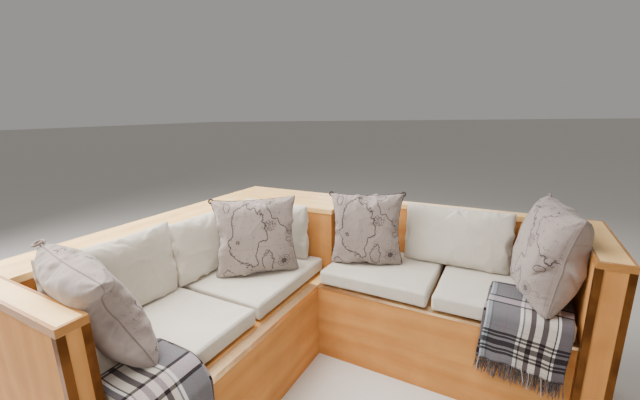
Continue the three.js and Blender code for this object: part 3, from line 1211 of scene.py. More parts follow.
def world_points(obj: Object) -> Array:
    """An object's vertices in the settee's frame."""
    matrix = np.array(obj.matrix_world)
    return read_points(obj) @ matrix[:3, :3].T + matrix[:3, 3]


def search_tree(*objects: Object) -> BVHTree:
    """A search tree of several objects together, in the settee's frame.

    Args:
        objects: The objects.

    Returns:
        The tree.
    """
    points, faces = [], []
    for obj in objects:
        first = len(points)
        points += world_points(obj).tolist()
        faces += [[first + vertex for vertex in face.vertices] for face in obj.data.polygons]
    return BVHTree.FromPolygons(points, faces)


def apply_modifiers(obj: Object) -> None:
    """Puts what an object's modifiers make into its mesh.

    Args:
        obj: The object.
    """
    graph = bpy.context.evaluated_depsgraph_get()
    old = obj.data
    changed = obj.evaluated_get(graph)
    obj.data = bpy.data.meshes.new_from_object(changed, preserve_all_data_layers=True, depsgraph=graph)
    obj.modifiers.clear()
    obj.data.name = obj.name
    bpy.data.meshes.remove(old)


def modify(obj: Object, kind: str, **values: object) -> None:
    """Adds a modifier with some properties to an object and applies it."""
    adjust(obj.modifiers.new(kind.lower(), kind), **values)
    apply_modifiers(obj)


def subdivide(obj: Object) -> None:
    """Makes a mesh's faces a quarter of their size."""
    modify(obj, "SUBSURF", levels=1, render_levels=1, uv_smooth="NONE")


def raise_skin(obj: Object, points: Array, rise: Array) -> Array:
    """Points moved along a mesh's normals."""
    return points + np.array([v.normal for v in obj.data.vertices]) * rise[:, None]


def unit(vectors: Array) -> Array:
    """Vectors of length 1 with the directions of the given ones."""
    return vectors / np.maximum(np.linalg.norm(vectors, axis=-1, keepdims=True), 1e-9)


def spokes(first: Array, second: Array, turns: Array) -> Array:
    """Directions at some angles from one vector towards another."""
    return np.cos(turns)[..., None] * first + np.sin(turns)[..., None] * second


def ring_faces(rings: int, sides: int, closed: bool = False, start: int = 0) -> list[Face]:
    """Faces of a tube.

    Args:
        rings: Number of its rings of vertices.
        sides: Vertices in a ring.
        closed: True if it closes on itself, False if its ends are capped.
        start: Number of its first vertex.

    Returns:
        The faces.
    """
    faces = []
    for ring in range(rings if closed else rings - 1):
        here, after = start + ring * sides, start + (ring + 1) % rings * sides
        for k in range(sides):
            n = (k + 1) % sides
            faces.append((here + k, here + n, after + n, after + k))
    if not closed:
        end = start + (rings - 1) * sides
        faces += [range(start, start + sides)[::-1], range(end, end + sides)]
    return faces


def tube(name: str, line: Array, radius: float, closed: bool, sides: int = 8) -> Object:
    """A round tube along a line.

    Args:
        name: The object's name.
        line: Points along its middle.
        radius: Its radius.
        closed: True if the line closes on itself.
        sides: Number of its sides.

    Returns:
        The object.
    """
    ahead = np.roll(line, -1, 0) if closed else np.concatenate([line[1:], line[-1:]])
    behind = np.roll(line, 1, 0) if closed else np.concatenate([line[:1], line[:-1]])
    tangent = unit(ahead - behind)
    first = unit(np.cross(tangent, (0.31, 0.17, 0.93)))
    turns = np.tile(np.linspace(0, math.tau, sides, endpoint=False), (len(line), 1))
    rings = line[:, None] + radius * spokes(first[:, None], np.cross(tangent, first)[:, None], turns)
    return mesh_object(name, rings.reshape(-1, 3), ring_faces(len(line), sides, closed))


def billows(points: Array, scale: float, seed: float) -> Array:
    """Smooth noise from -1 to 1 at each point.

    Args:
        points: The places.
        scale: Waves per metre.
        seed: Shift that makes each piece differ.

    Returns:
        One number for each point.
    """
    shift = Vector((seed * 7.13, seed * 3.71, seed * 1.93))
    return np.array([noise.noise(Vector(p) * scale + shift) for p in points])


def creases(points: Array, scale: float, seed: float) -> Array:
    """Sharp soft-sided folds from 0 to 1 at each point.

    Args:
        points: The places.
        scale: Folds per metre.
        seed: Shift that makes each piece differ.

    Returns:
        One number for each point, near 1 on a fold's crest.
    """
    bend = billows(points, scale * 0.6, seed + 4.0)
    moved = points + bend[:, None] * 0.25 / scale
    return (1 - np.abs(billows(moved, scale, seed))) ** 4


# Soft pieces


@dataclass
class SoftPiece:
    """A filled cover that replaces one soft solid.

    Attributes:
        node: The solid's name.
        heading: Heading of its width from X, in degrees.
        lean: How far its top tips back, in degrees.
        roll: How far the far end of its width is lifted, in degrees.
        seed: Number that makes its creases its own.
        bed: Distance that the cushions below keep from it.
        size: Width, depth and height of its solid along its own axes.
        matrix: Place of its mesh, which stands on its origin.
        obj: Its mesh object.
        start: Points of the cover before it is filled.
        seams: Closed rows of vertex numbers along its seams.
        slot: The record's name for its finish.
        finish: Its finish.
        fill: How full it is, from 0 to 1.
    """

    slot: ClassVar[Slot] = Slot.SEAT
    finish: ClassVar[Canvas] = SEAT_CANVAS
    fill: ClassVar[float]

    node: str
    heading: float = 0.0
    lean: float = 0.0
    roll: float = 0.0
    seed: float = 1.0
    bed: float = 0.0008
    size: Vector = field(init=False)
    matrix: Matrix = field(init=False)
    obj: Object = field(init=False)
    start: Array = field(init=False)
    seams: list[list[int]] = field(init=False)

    def sew(self) -> Cover:
        """The cover before it is filled."""
        raise NotImplementedError

    def cut(self) -> None:
        """Measures the solid along the piece's own axes and makes the cover, ready to be filled."""
        turn = Matrix.Identity(3)
        for angle, axis in ((self.heading, "Z"), (-self.lean, "X"), (-self.roll, "Y")):
            turn = turn @ Matrix.Rotation(math.radians(angle), 3, axis)
        own = np.array([turn.transposed() @ v.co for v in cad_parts[self.node].data.vertices])
        low, high = Vector(own.min(0)), Vector(own.max(0))
        self.size = high - low
        base = Vector(((low.x + high.x) / 2, (low.y + high.y) / 2, low.z))
        self.matrix = Matrix.Translation(turn @ base) @ turn.to_4x4()
        cover = self.sew()
        self.obj = mesh_object(self.node + "_cover", cover.points, cover.quads, cover.flat)
        self.start, self.seams = cover.points, cover.seams

    def shape(self) -> None:
        """Gives the filled cover its size and its own creases."""
        raise NotImplementedError

    def set_world(self, points: Array) -> None:
        """Moves the mesh's vertices to places in the settee's frame."""
        matrix = np.array(self.obj.matrix_world)
        write_points(self.obj, (points - matrix[:3, 3]) @ matrix[:3, :3])

    def put(self) -> None:
        """Moves the mesh to its place."""
        self.obj.matrix_world = self.matrix
        bpy.context.view_layer.update()

    def fit_over(self, tree: BVHTree, gap: float = 0.0006, turned: bool = False) -> None:
        """Lifts the underside onto what it stands on, or sinks the top under what stands on it.

        Args:
            tree: Search tree of the other shape.
            gap: Distance kept from it.
            turned: True if the other shape stands on this piece.
        """
        points = world_points(self.obj)
        low = points[:, 2].min()
        reach, start, way = (0.02, 0.02, 1) if turned else (0.06, 0.1, -1)
        for point in points:
            if (point[2] - low - reach) * way < 0:
                continue
            spot = tree.ray_cast(Vector((point[0], point[1], low + start)), Vector((0, 0, way)), 0.2)[0]
            if spot is not None and (point[2] - spot.z) * way > -gap:
                point[2] = spot.z - gap * way
        self.set_world(points)

    def push_out(self, tree: BVHTree, margin: float) -> None:
        """Moves vertices that lie inside another shape to that shape's surface.

        Args:
            tree: Search tree of the other, closed shape.
            margin: Distance kept from the surface.
        """
        points = world_points(self.obj)
        for index, point in enumerate(points):
            spot, normal, _, distance = tree.find_nearest(Vector(point), 0.08)
            if spot is not None and ((Vector(point) - spot).dot(normal) < 0 or distance < margin):
                points[index] = spot + normal * margin
        self.set_world(points)

    def hand_over(self) -> None:
        """Dresses the piece and tells the frame about it."""
        self.obj.data.materials.clear()
        self.obj.data.materials.append(self.finish.material())
        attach(self.obj, "root")
        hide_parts(self.node)
        LOG.info("built %s, %d faces", self.obj.name, len(self.obj.data.polygons))


@dataclass(frozen=True)
class Filling:
    """How covers are filled in a cloth simulation.

    Attributes:
        pressure: Pressure inside a cover.
        frames: Frames that the simulation runs.
        tension: Stiffness against stretch.
        bending: Stiffness against bending.
    """

    pressure: float = 4.0
    frames: int = 20
    tension: float = 15.0
    bending: float = 0.4

    def add_cloth(self, cover: Object) -> None:
        """Puts the simulation on a cover.

        Args:
            cover: The cover.
        """
        cloth = cover.modifiers.new("cloth", "CLOTH")
        adjust(
            cloth.settings, quality=6, mass=0.35, air_damping=2.5, tension_stiffness=self.tension,
            compression_stiffness=self.tension, shear_stiffness=self.tension / 2,
            bending_stiffness=self.bending, tension_damping=12.0, compression_damping=12.0,
            use_pressure=True, uniform_pressure_force=self.pressure,
        )
        cloth.settings.effector_weights.gravity = 0.0
        cloth.collision_settings.use_collision = False
        cloth.point_cache.frame_end = self.frames

    def run(self, pieces: Sequence[SoftPiece]) -> None:
        """Fills all covers at once and keeps the result.

        Args:
            pieces: The pieces whose covers are filled.
        """
        for piece in pieces:
            self.add_cloth(piece.obj)
        for step in range(1, self.frames + 1):
            bpy.context.scene.frame_set(step)
        for piece in pieces:
            apply_modifiers(piece.obj)
        bpy.context.scene.frame_set(1)
        LOG.info("filled %d covers in %d frames", len(pieces), self.frames)


@dataclass
class SeatCushion(SoftPiece):
    """A boxed foam seat cushion.

    Attributes:
        cell: Size of a face of the cover.
        edge: Radius of its edges.
        swell: How far the filled cover stands proud of the foam.
        crown: How far the top may rise above its solid in the middle.
        pinch: How far the seams are pulled in.
        over: How far the sides may stand past the solid.
    """

    fill: ClassVar[float] = 0.9

    cell: float = 0.0125
    edge: float = 0.015
    swell: float = 0.006
    crown: float = 0.004
    pinch: float = 0.0012
    over: float = 0.0006

    def sew(self) -> Cover:
        """The cover, a little smaller than the solid."""
        return boxed_cover([length - self.swell for length in self.size], self.cell, self.edge)

    def shape(self) -> None:
        """Caps the swelling, draws in the seams, adds creases and keeps the cushion in its place."""
        size = np.array(self.size)
        move, cap = read_points(self.obj) - self.start, self.swell * 1.5
        points = self.start + unit(move) * cap * np.tanh(np.linalg.norm(move, axis=1) / cap)[:, None]
        for seam in self.seams:
            points[seam] += unit(points.mean(0) - points[seam]) * self.pinch
        write_points(self.obj, points)
        subdivide(self.obj)
        points = read_points(self.obj)
        rise = 0.0022 * billows(points, 6.0, self.seed) + 0.0014 * (creases(points, 9.0, self.seed) - 0.4)
        points = raise_skin(self.obj, points, rise * np.clip(points[:, 2] / size[2], 0.0, 1.0))
        points[:, 2] -= min(0.0, points[:, 2].min())
        half = size[:2] / 2 + self.over
        points = np.clip(points, (*-half, 0.0), (*half, size[2] + self.crown))
        write_points(self.obj, points)


@dataclass(frozen=True)
class Waists:
    """How far a pillow's sides draw in between its corners, as shares of half its size.

    Attributes:
        side: The left and the right side.
        top: The upper side.
        low: The lower side, which the pillow's weight presses flat.
    """

    side: float = 0.14
    top: float = 0.05
    low: float = 0.03


@dataclass
class PillowPiece(SoftPiece):
    """A cover of two panels sewn round their edge.

    Attributes:
        cell: Size of a face of the cover.
        ease: How much larger than the solid the flat panels are cut.
        fullness: How flat the faces are, up to 2 for a foam block.
        waists: How far its sides draw in between its corners.
        ears: How far the upper corners stand out.
        depth_of_creases: Height of the creases in metres.
        calm_edge: Width of the edge along which they fade.
        pleats: Height of the gathers along the seams.
        pleat_reach: How far from the seams they run.
        rays: Height of the creases at the corners.
        overlap: Height of the step at the closure on the back.
        tuck: How far the left side's seam sinks in below its upper corner.
        tuck_width: How far from the seam that reaches.
        droop: How far the upper left corner hangs over.
        droop_reach: How far from that corner it reaches.
    """

    fill: ClassVar[float] = 0.8

    cell: float = 0.0085
    ease: float = 1.05
    fullness: float = 0.6
    waists: Waists = Waists()
    ears: float = 0.0
    depth_of_creases: float = 0.002
    calm_edge: float = 0.05
    pleats: float = 0.0008
    pleat_reach: float = 0.025
    rays: float = 0.0016
    overlap: float = 0.0
    tuck: float = 0.0
    tuck_width: float = 0.03
    droop: tuple[float, float, float] = ORIGIN
    droop_reach: float = 0.1

    def sew(self) -> Cover:
        """Two flat panels with a little room between them."""
        width, height = self.size.x * self.ease, self.size.z * self.ease
        return two_panel_cover(width, height, self.cell, 0.03)

    def shape(self) -> None:
        """Fits the filled cover to its solid and adds creases."""
        size = np.array(self.size)
        points, flat = read_points(self.obj), read_points(self.obj, FLAT)
        low, high = points.min(0), points.max(0)
        points = (points - (low + high) / 2) * size / np.maximum(high - low, 1e-6)
        full = size[1] / 2
        points[:, 1] = full * np.tanh(self.fullness * points[:, 1] / full) / math.tanh(self.fullness)
        points[:, 2] += size[2] / 2
        self.fit_outline(points, flat)
        self.bend_corners(points, flat)
        write_points(self.obj, points)
        subdivide(self.obj)
        points = read_points(self.obj)
        inside = size / 2 - np.abs(points - (0, 0, size[2] / 2))
        calm = np.clip(np.minimum(inside[:, 0], inside[:, 2]) / self.calm_edge, 0.15, 1.0)
        rise = billows(points, 7.0, self.seed) + 0.8 * (creases(points, 11.0, self.seed) - 0.4)
        rise = self.depth_of_creases * rise * calm + self.gathers(read_points(self.obj, FLAT))
        write_points(self.obj, raise_skin(self.obj, points, rise))

    def fit_outline(self, points: Array, flat: Array) -> None:
        """Moves the seam to a rectangle with drawn-in sides, and the rest with it.

        Args:
            points: Points in the pillow's own frame, its underside on Z 0.
            flat: Their places on the flat cut.
        """
        size, waists, seam = self.size, self.waists, np.array(self.seams[0])
        u, v = (flat[:, :2] / np.abs(flat[:, :2]).max(0)).T
        across = u * (1 - waists.side * (1 - v * v))
        up = v * (1 - np.where(v < 0, waists.low, waists.top) * (1 - u * u))
        bow = points[:, [0, 2]] - np.stack([across * size.x / 2, (up + 1) * size.z / 2], 1)

        def along(at: Array, other: Array, end: int, where: Array) -> Array:
            """How far one side's seam lies off its line at some places."""
            chosen = sorted(seam[other[seam] * end > 1 - 1e-6], key=lambda vertex: at[vertex])
            return np.stack([np.interp(where, at[chosen], bow[chosen, k]) for k in range(2)], 1)

        a, b = ((u + 1) / 2)[:, None], ((v + 1) / 2)[:, None]
        for share, end in ((1 - b, -1), (b, 1)):
            left, right = along(u, v, end, np.array([-1.0, 1.0]))
            points[:, [0, 2]] -= share * (along(u, v, end, u) - (1 - a) * left - a * right)
        points[:, [0, 2]] -= (1 - a) * along(v, u, -1, v) + a * along(v, u, 1, v)

    def bend_corners(self, points: Array, flat: Array) -> None:
        """Draws out the upper corners and lets the left one hang over.

        Args:
            points: Points in the pillow's own frame.
            flat: Their places on the flat cut.
        """
        half = np.abs(flat[:, :2]).max(0)
        # The left corner comes last, because it also hangs over
        for side in (1, -1):
            away = np.hypot(half[0] - side * flat[:, 0], half[1] - flat[:, 1])
            pull = self.ears * np.exp(-((away / 0.03) ** 2))
            points += pull[:, None] * np.array((side * 0.6, 0.5, 0.6))
        points += np.exp(-((away / self.droop_reach) ** 2))[:, None] * np.array(self.droop)
        sunk = np.clip(1 - ((flat[:, 1] / half[1] - 0.1) / 0.7) ** 2, 0, 1)
        points[:, 0] += self.tuck * sunk * np.exp(-(((half[0] + flat[:, 0]) / self.tuck_width) ** 2))

    def gathers(self, flat: Array) -> Array:
        """Pleats along the seams and creases at the corners.

        Args:
            flat: Places on the flat cut.

        Returns:
            Height of each vertex over the smooth pillow.
        """
        half = np.abs(flat[:, :2]).max(0)
        to_side, to_top = half[0] - np.abs(flat[:, 0]), half[1] - np.abs(flat[:, 1])
        rise = np.zeros(len(flat))
        for away, along in ((to_side, flat[:, 1]), (to_top, flat[:, 0])):
            pace = along * 190 + 2.2 * np.sin(along * 31 + self.seed) + flat[:, 2] * self.seed
            reach = np.exp(-away / self.pleat_reach) * np.clip(away / 0.008, 0, 1)
            rise += self.pleats * np.sin(pace) * reach * (0.6 + 0.4 * np.sin(along * 17 + 2 * self.seed))
        for number, (sx, sy) in enumerate(((-1, -1), (1, -1), (1, 1), (-1, 1))):
            dx, dy = half[0] - sx * flat[:, 0], half[1] - sy * flat[:, 1]
            away, turn = np.hypot(dx, dy), np.arctan2(dy, dx)
            rays = np.sin(turn * 15 + self.seed * (number + 1) + flat[:, 2])
            rise += self.rays * rays * np.exp(-away / 0.07) * np.clip(away / 0.02, 0, 1)
        over = np.clip((flat[:, 1] - CLOSURE_AT) / 0.003 + 0.5, 0, 1) * (flat[:, 2] < -0.5)
        return rise + self.overlap * over * np.clip(to_side / 0.03, 0, 1) * np.clip(to_top / 0.03, 0, 1)


@dataclass
class BackCushion(PillowPiece):
    """A foam back cushion with a knife edge."""

    ease: float = 1.03
    fullness: float = 1.5
    waists: Waists = Waists(0.0, 0.02, 0.0)
    pleats: float = 0.0005
    rays: float = 0.0008
    depth_of_creases: float = 0.0024


@dataclass(frozen=True)
class Curl:
    """A loop in which the end of the piping stands up at an upper corner.

    Attributes:
        side: -1 for the left corner and 1 for the right one.
        radius: Radius of the loop.
        level: True if it lies across the pillow.
        thick: Radius of the piping in the loop.
    """

    side: int
    radius: float = 0.0115
    level: bool = False
    thick: float = 0.0046

    def line(self) -> Array:
        """The loop's course.

        Returns:
            Points along it, from its corner and in the pillow's own axes.
        """
        angle = np.linspace(3.6, 3.6 + 2.15 * math.pi, 36)
        radius = np.linspace(self.radius, 0.85 * self.radius, 36)
        across, up = self.side * radius * np.cos(angle), radius * np.sin(angle)
        climb = np.linspace(-0.003, 0.003, 36)
        return np.stack([across, up, 0.008 + climb] if self.level else [across, climb, up], 1)


@dataclass
class ScatterPillow(PillowPiece):
    """A feather pillow with a printed face and piping.

    Attributes:
        piping: Finish of the piping.
        piping_radius: Radius of the piping.
        curls: Loops at the upper corners.
    """

    slot: ClassVar[Slot] = Slot.PILLOW
    finish: ClassVar[Canvas] = PILLOW_LINEN
    fill: ClassVar[float] = 0.6

    ease: float = 1.08
    fullness: float = 1.0
    ears: float = 0.004
    depth_of_creases: float = 0.0024
    overlap: float = 0.0022
    pleats: float = 0.0014
    pleat_reach: float = 0.035
    rays: float = 0.0034
    piping: Canvas = DARK_PIPING
    piping_radius: float = 0.0026
    curls: tuple[Curl, ...] = ()

    def add_piping(self) -> None:
        """Sews the piping round the seam of the finished pillow."""
        line = world_points(self.obj)[self.seams[0]]
        for _ in range(2):
            line = (np.roll(line, 1, 0) + 2 * line + np.roll(line, -1, 0)) / 4
        self.pipe("_piping", line, self.piping_radius, True)
        flat, turn = read_points(self.obj, FLAT)[self.seams[0]], np.array(self.matrix.to_3x3())
        for curl in self.curls:
            corner = line[np.argmax(curl.side * flat[:, 0] + flat[:, 1])]
            suffix = "_curl_left" if curl.side < 0 else "_curl_right"
            self.pipe(suffix, corner + curl.line() @ turn.T, curl.thick, False)

    def pipe(self, suffix: str, line: Array, radius: float, closed: bool) -> None:
        """Makes one length of piping.

        Args:
            suffix: End of its name.
            line: Points along it.
            radius: Its radius.
            closed: True if it runs all round.
        """
        cord = tube(self.node + suffix, line, radius, closed)
        cord.data.materials.append(self.piping.material())
        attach(cord, "root")


# Throws


@dataclass
class Path:
    """A line with rounded corners in the plane of "out" and up, counted from its first bend.

    Attributes:
        points: Out and height of its points.
        places: Distance of each point from the middle of the first bend.
    """

    points: Array
    places: Array

    @classmethod
    def rounded(cls, corners: Sequence[Sequence[float]], steps: int = 8) -> "Path":
        """Rounds the corners of a line.

        Args:
            corners: Out, height and radius of each corner, the ends with radius 0.
            steps: Steps in a bend.

        Returns:
            The path.
        """
        line = [np.array(corners[0][:2])]
        for before, here, after in zip(corners, corners[1:], corners[2:]):
            middle, radius = np.array(here[:2]), here[2]
            first, second = unit(np.array(before[:2]) - middle), unit(np.array(after[:2]) - middle)
            half = math.acos(np.clip(first @ second, -1, 1)) / 2
            centre = middle + unit(first + second) * radius / math.sin(half)
            start, end = (middle + way * radius / math.tan(half) for way in (first, second))
            for share in np.linspace(0, 1, steps + 1):
                line.append(centre + unit((start - centre) * (1 - share) + (end - centre) * share) * radius)
        line.append(np.array(corners[-1][:2]))
        points = np.array(line)
        places = np.concatenate([[0], np.cumsum(np.linalg.norm(np.diff(points, axis=0), axis=1))])
        return cls(points, places - places[1 + steps // 2])

    def point(self, where: Array) -> Array:
        """Points at some places, the path going straight on past its ends.

        Args:
            where: The places.

        Returns:
            Out and height of the points.
        """
        first, last = self.places[0], self.places[-1]
        out = [np.interp(np.clip(where, first, last), self.places, part) for part in self.points.T]
        spots = np.stack(out, 1)
        for beyond, a, b in ((first - where, 1, 0), (where - last, -2, -1)):
            spots += np.maximum(0, beyond)[:, None] * unit(self.points[b] - self.points[a])
        return spots

    def at(self, places: Array) -> tuple[Array, Array]:
        """Points and outward normals at some places."""
        tangent = unit(self.point(places + 0.002) - self.point(places - 0.002))
        return self.point(places), np.stack([-tangent[:, 1], tangent[:, 0]], 1)


class Folds(NamedTuple):
    """The folds across a throw's width, a number for each column of its sheet.

    Attributes:
        flat: Place across the flat throw.
        across: Place across the folded one.
        stand_out: Layer distances that it stands out sideways.
        level: Height in layer distances.
        lean_side: Part along "side" of the way to the sheet's upper side.
        lean_up: Part of that way off the seat.
    """

    flat: Array
    across: Array
    stand_out: Array
    level: Array
    lean_side: Array
    lean_up: Array


class Plies(NamedTuple):
    """The two plies along a throw's length, a number for each row of its sheet.

    Attributes:
        flat: Place along the flat throw.
        places: Place along the path.
        side: From -1 for the lower ply to 1 for the upper one.
    """

    flat: Array
    places: Array
    side: Array


@dataclass
class Throw:
    """A wool throw, folded once across its length and to and fro across its width.

    It lies on a seat with the fold at the back and its fringed ends hanging over the front.

    Attributes:
        node: The solid's name.
        rests: What it lies on.
        out: Direction to the room.
        side: Direction in which the stripes are counted.
        origin: Where the stripes are counted from, along "side".
        width: Width of the folded throw.
        layers: Number of folds side by side.
        corners: Out, height and radius of the path's corners.
        stripe_from: Place in the stripes at its free edge.
        band_at: Distance from the seat's edge down to a wide dark band.
        skew: Slope of the cross stripes.
        slant: How far it runs sideways for each metre up.
        seed: Number that makes its ripples its own.
        closest: Distance between thicknesses on the seat.
        widest: Distance between thicknesses at the hem.
        thick: Thickness of the wool.
        cell: Size of a face.
        ripple: Height of the ripples at the hem.
        ragged: How far the folded edges stand out from each other.
        fringe: Length of the fringe.
        yarn: Radius of one of the fringe's yarns.
        crest: Half the length of the bend's finer part.
        grid: Rows and columns at which the seat's height is felt.
        feel_from: Height over the path from which it is felt.
        path: The line that it lies along.
        lifts: How far the seat stands above the path.
        obj: Its mesh object.
    """

    node: str
    rests: tuple[str, ...]
    out: Vector
    side: Vector
    origin: float
    width: float
    layers: int
    corners: tuple[tuple[float, float, float], ...]
    stripe_from: float
    band_at: float
    skew: float = 0.0
    slant: float = 0.0
    seed: float = 3.0
    closest: float = 0.0014
    widest: float = 0.0026
    thick: float = 0.0011
    cell: float = 0.0075
    ripple: float = 0.005
    ragged: float = 0.006
    fringe: float = 0.072
    yarn: float = 0.0009
    crest: float = 0.03
    grid: tuple[int, int] = (64, 24)
    feel_from: float = 0.03
    path: Path = field(init=False)
    lifts: Array = field(init=False)
    obj: Object = field(init=False)

    def __post_init__(self) -> None:
        """Rounds the path."""
        self.path = Path.rounded(self.corners)

    @property
    def back(self) -> float:
        """Distance from the crest to the fold at the back."""
        return -float(self.path.places[0])

    @property
    def hang(self) -> float:
        """Distance from the crest to the hem."""
        return float(self.path.places[-1])

    @property
    def flat_size(self) -> tuple[float, float]:
        """Width and length of the flat throw."""
        return self.layers * self.width, 2 * (self.back + self.hang)

    def folds(self) -> Folds:
        """Folds the throw across its width.

        Returns:
            The folds.
        """
        rng = np.random.default_rng(int(self.seed * 100))
        straight = max(4, round(self.width / self.cell))
        edges = [0.0 if k % 2 == 0 else self.width for k in range(self.layers + 1)]
        edges = [edge + (rng.uniform(-0.3, 1.0) * self.ragged * (1 if edge else -1)) for edge in edges]
        edges[0] = self.ragged * 0.3
        rows: list[tuple[float, ...]] = []
        for layer, (first, last) in enumerate(zip(edges, edges[1:])):
            level = 2.0 * (self.layers - 1 - layer) + 0.5
            upward = 1.0 if layer % 2 == 0 else -1.0
            for share in np.linspace(0, 1, straight):
                flat = (layer + 0.01 + 0.98 * share) * self.width
                rows.append((flat, first + (last - first) * share, 0.0, level, 0.0, upward))
            if layer == self.layers - 1:
                break
            outwards = 1.0 if last > first else -1.0
            for turn in np.linspace(0, math.pi, 9)[1:-1]:
                flat = (layer + 0.99 + 0.02 * turn / math.pi) * self.width
                # The sheet's normal starts along its upper side and turns with the fold
                out, up = outwards * math.sin(turn), math.cos(turn)
                rows.append((flat, last, out, level - 1.0 + up, upward * out, upward * up))
        return Folds(*np.array(rows).T)

    def plies(self) -> Plies:
        """Folds the throw across its length.

        Returns:
            The two plies.
        """
        on_seat = np.linspace(-self.back, -self.crest, max(6, round(self.back / 0.012)))
        crest = np.linspace(-self.crest, self.crest, 13)[1:]
        hanging = np.linspace(self.crest, self.hang, round(self.hang / self.cell))[1:]
        upper = np.concatenate([on_seat, crest, hanging])
        turns = np.linspace(0, math.pi, 7)[1:-1]
        fold = -self.back - 0.0002 * np.arange(1, len(turns) + 1)
        flat = np.concatenate([upper[::-1], fold, -2 * self.back - 0.002 - upper])
        places = np.concatenate([upper[::-1], -self.back - 0.0007 * np.sin(turns), upper])
        side = np.concatenate([np.ones(len(upper)), np.cos(turns), -np.ones(len(upper))])
        return Plies(flat, places, side)

    def spots(self, fold: Folds, places: Array, side: Array) -> Array:
        """Points of the folded throw, whose hanging part spreads, ripples and slides.

        Args:
            fold: The fold that each point lies in.
            places: Place along the path.
            side: The ply.

        Returns:
            The points.
        """
        fall = np.clip(places / self.hang, 0, 1)
        spread = np.clip(places / 0.06, 0, 1) * (0.5 + 0.5 * fall)
        gap = self.closest + (self.widest - self.closest) * spread
        wave = np.sin(math.tau * (fold.across / 0.125 + 0.35 * fall + self.seed))
        wave += 0.6 * np.sin(math.tau * (fold.across / 0.071 - 0.2 * fall + 1.7 * self.seed))
        drift = 0.004 * np.sin(fold.flat * 23 + self.seed) + 0.003 * np.sin(fold.flat * 61 + 2 * self.seed)
        slide = fall * (drift - 0.005 * side) + self.skew * (fold.across - self.width / 2)
        x = fold.across + gap * (fold.stand_out + side * 0.5 * fold.lean_side)
        off = self.ripple * fall**1.4 * (wave + 1.6) / 2 + self.lift_at(x, places)
        off += gap * (fold.level + side * 0.5 * fold.lean_up)
        middle, normal = self.path.at(places + slide * np.clip((places + self.back) / 0.1, 0, 1))
        plane = middle + normal * off[:, None]
        wander = 0.0015 * np.sin(places * 31 + fold.level + self.seed) + self.slant * (self.hang - places)
        along = np.array(self.out), np.array(self.side)
        points = plane[:, :1] * along[0] + (self.origin + x + wander)[:, None] * along[1]
        points[:, 2] = plane[:, 1]
        return points

    def lift_at(self, x: Array, places: Array) -> Array:
        """How far the seat stands above the path at some places.

        Args:
            x: Place across the folded throw.
            places: Place along the path.

        Returns:
            The heights, mixed from the four nearest that were felt.
        """
        shares = (places + self.back) / (self.back + self.hang), x / self.width
        spots = [np.clip(s * (n - 1), 0, n - 1.001) for s, n in zip(shares, self.grid)]
        a, b = (spot.astype(int) for spot in spots)
        s, t = spots[0] - a, spots[1] - b
        near = (1 - t) * self.lifts[a, b] + t * self.lifts[a, b + 1]
        far = (1 - t) * self.lifts[a + 1, b] + t * self.lifts[a + 1, b + 1]
        return (1 - s) * near + s * far

    def feel(self, tree: BVHTree) -> None:
        """Measures how far the seat stands above the path.

        Args:
            tree: Search tree of the seat.
        """
        rows, columns = self.grid
        self.lifts = np.zeros(self.grid)
        middle, normal = self.path.at(np.linspace(-self.back, self.hang, rows))
        for i in range(rows):
            away = self.out * normal[i, 0] + Vector((0, 0, normal[i, 1]))
            for j, x in enumerate(np.linspace(0, self.width, columns)):
                spot = self.out * middle[i, 0] + self.side * (self.origin + x) + Vector((0, 0, middle[i, 1]))
                hit, _, _, far = tree.ray_cast(spot + away * self.feel_from, -away, self.feel_from)
                if hit is not None:
                    self.lifts[i, j] = self.feel_from - far
        for _ in range(3):
            edge = np.pad(self.lifts, 1, mode="edge")
            around = edge[:-2, 1:-1] + edge[2:, 1:-1] + edge[1:-1, :-2] + edge[1:-1, 2:]
            self.lifts = np.maximum(self.lifts, around / 4)

    def build(self, seat: BVHTree) -> None:
        """Makes the folded sheet and its fringe.

        Args:
            seat: Search tree of the seat that it lies on.
        """
        self.feel(seat)
        folds, plies = self.folds(), self.plies()
        columns, rows = len(folds.flat), len(plies.flat)
        wide = Folds(*(np.tile(part, rows) for part in folds))
        long = Plies(*(np.repeat(part, columns) for part in plies))
        points = self.spots(wide, long.places, long.side)
        flat = np.stack([wide.flat + self.stripe_from, long.flat - self.band_at, np.zeros(len(points))], 1)
        corners = ((0, 0), (0, 1), (1, 1), (1, 0))
        faces = [
            [(j + dj) * columns + i + di for dj, di in corners]
            for j in range(rows - 1) for i in range(columns - 1)
        ]
        self.obj = mesh_object(self.node + "_wool", points, faces, flat)
        modify(self.obj, "SOLIDIFY", thickness=self.thick, offset=0.0)
        tassels = self.knot(folds)
        for piece, finish in ((self.obj, THROW_WOOL), (tassels, THROW_FRINGE)):
            piece.data.materials.append(finish.material())
            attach(piece, "root")
        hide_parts(self.node)
        rests = list(self.rests)
        self.flat_size
        LOG.info("folded %s, %.2f by %.2f m flat", self.obj.name, *self.flat_size)

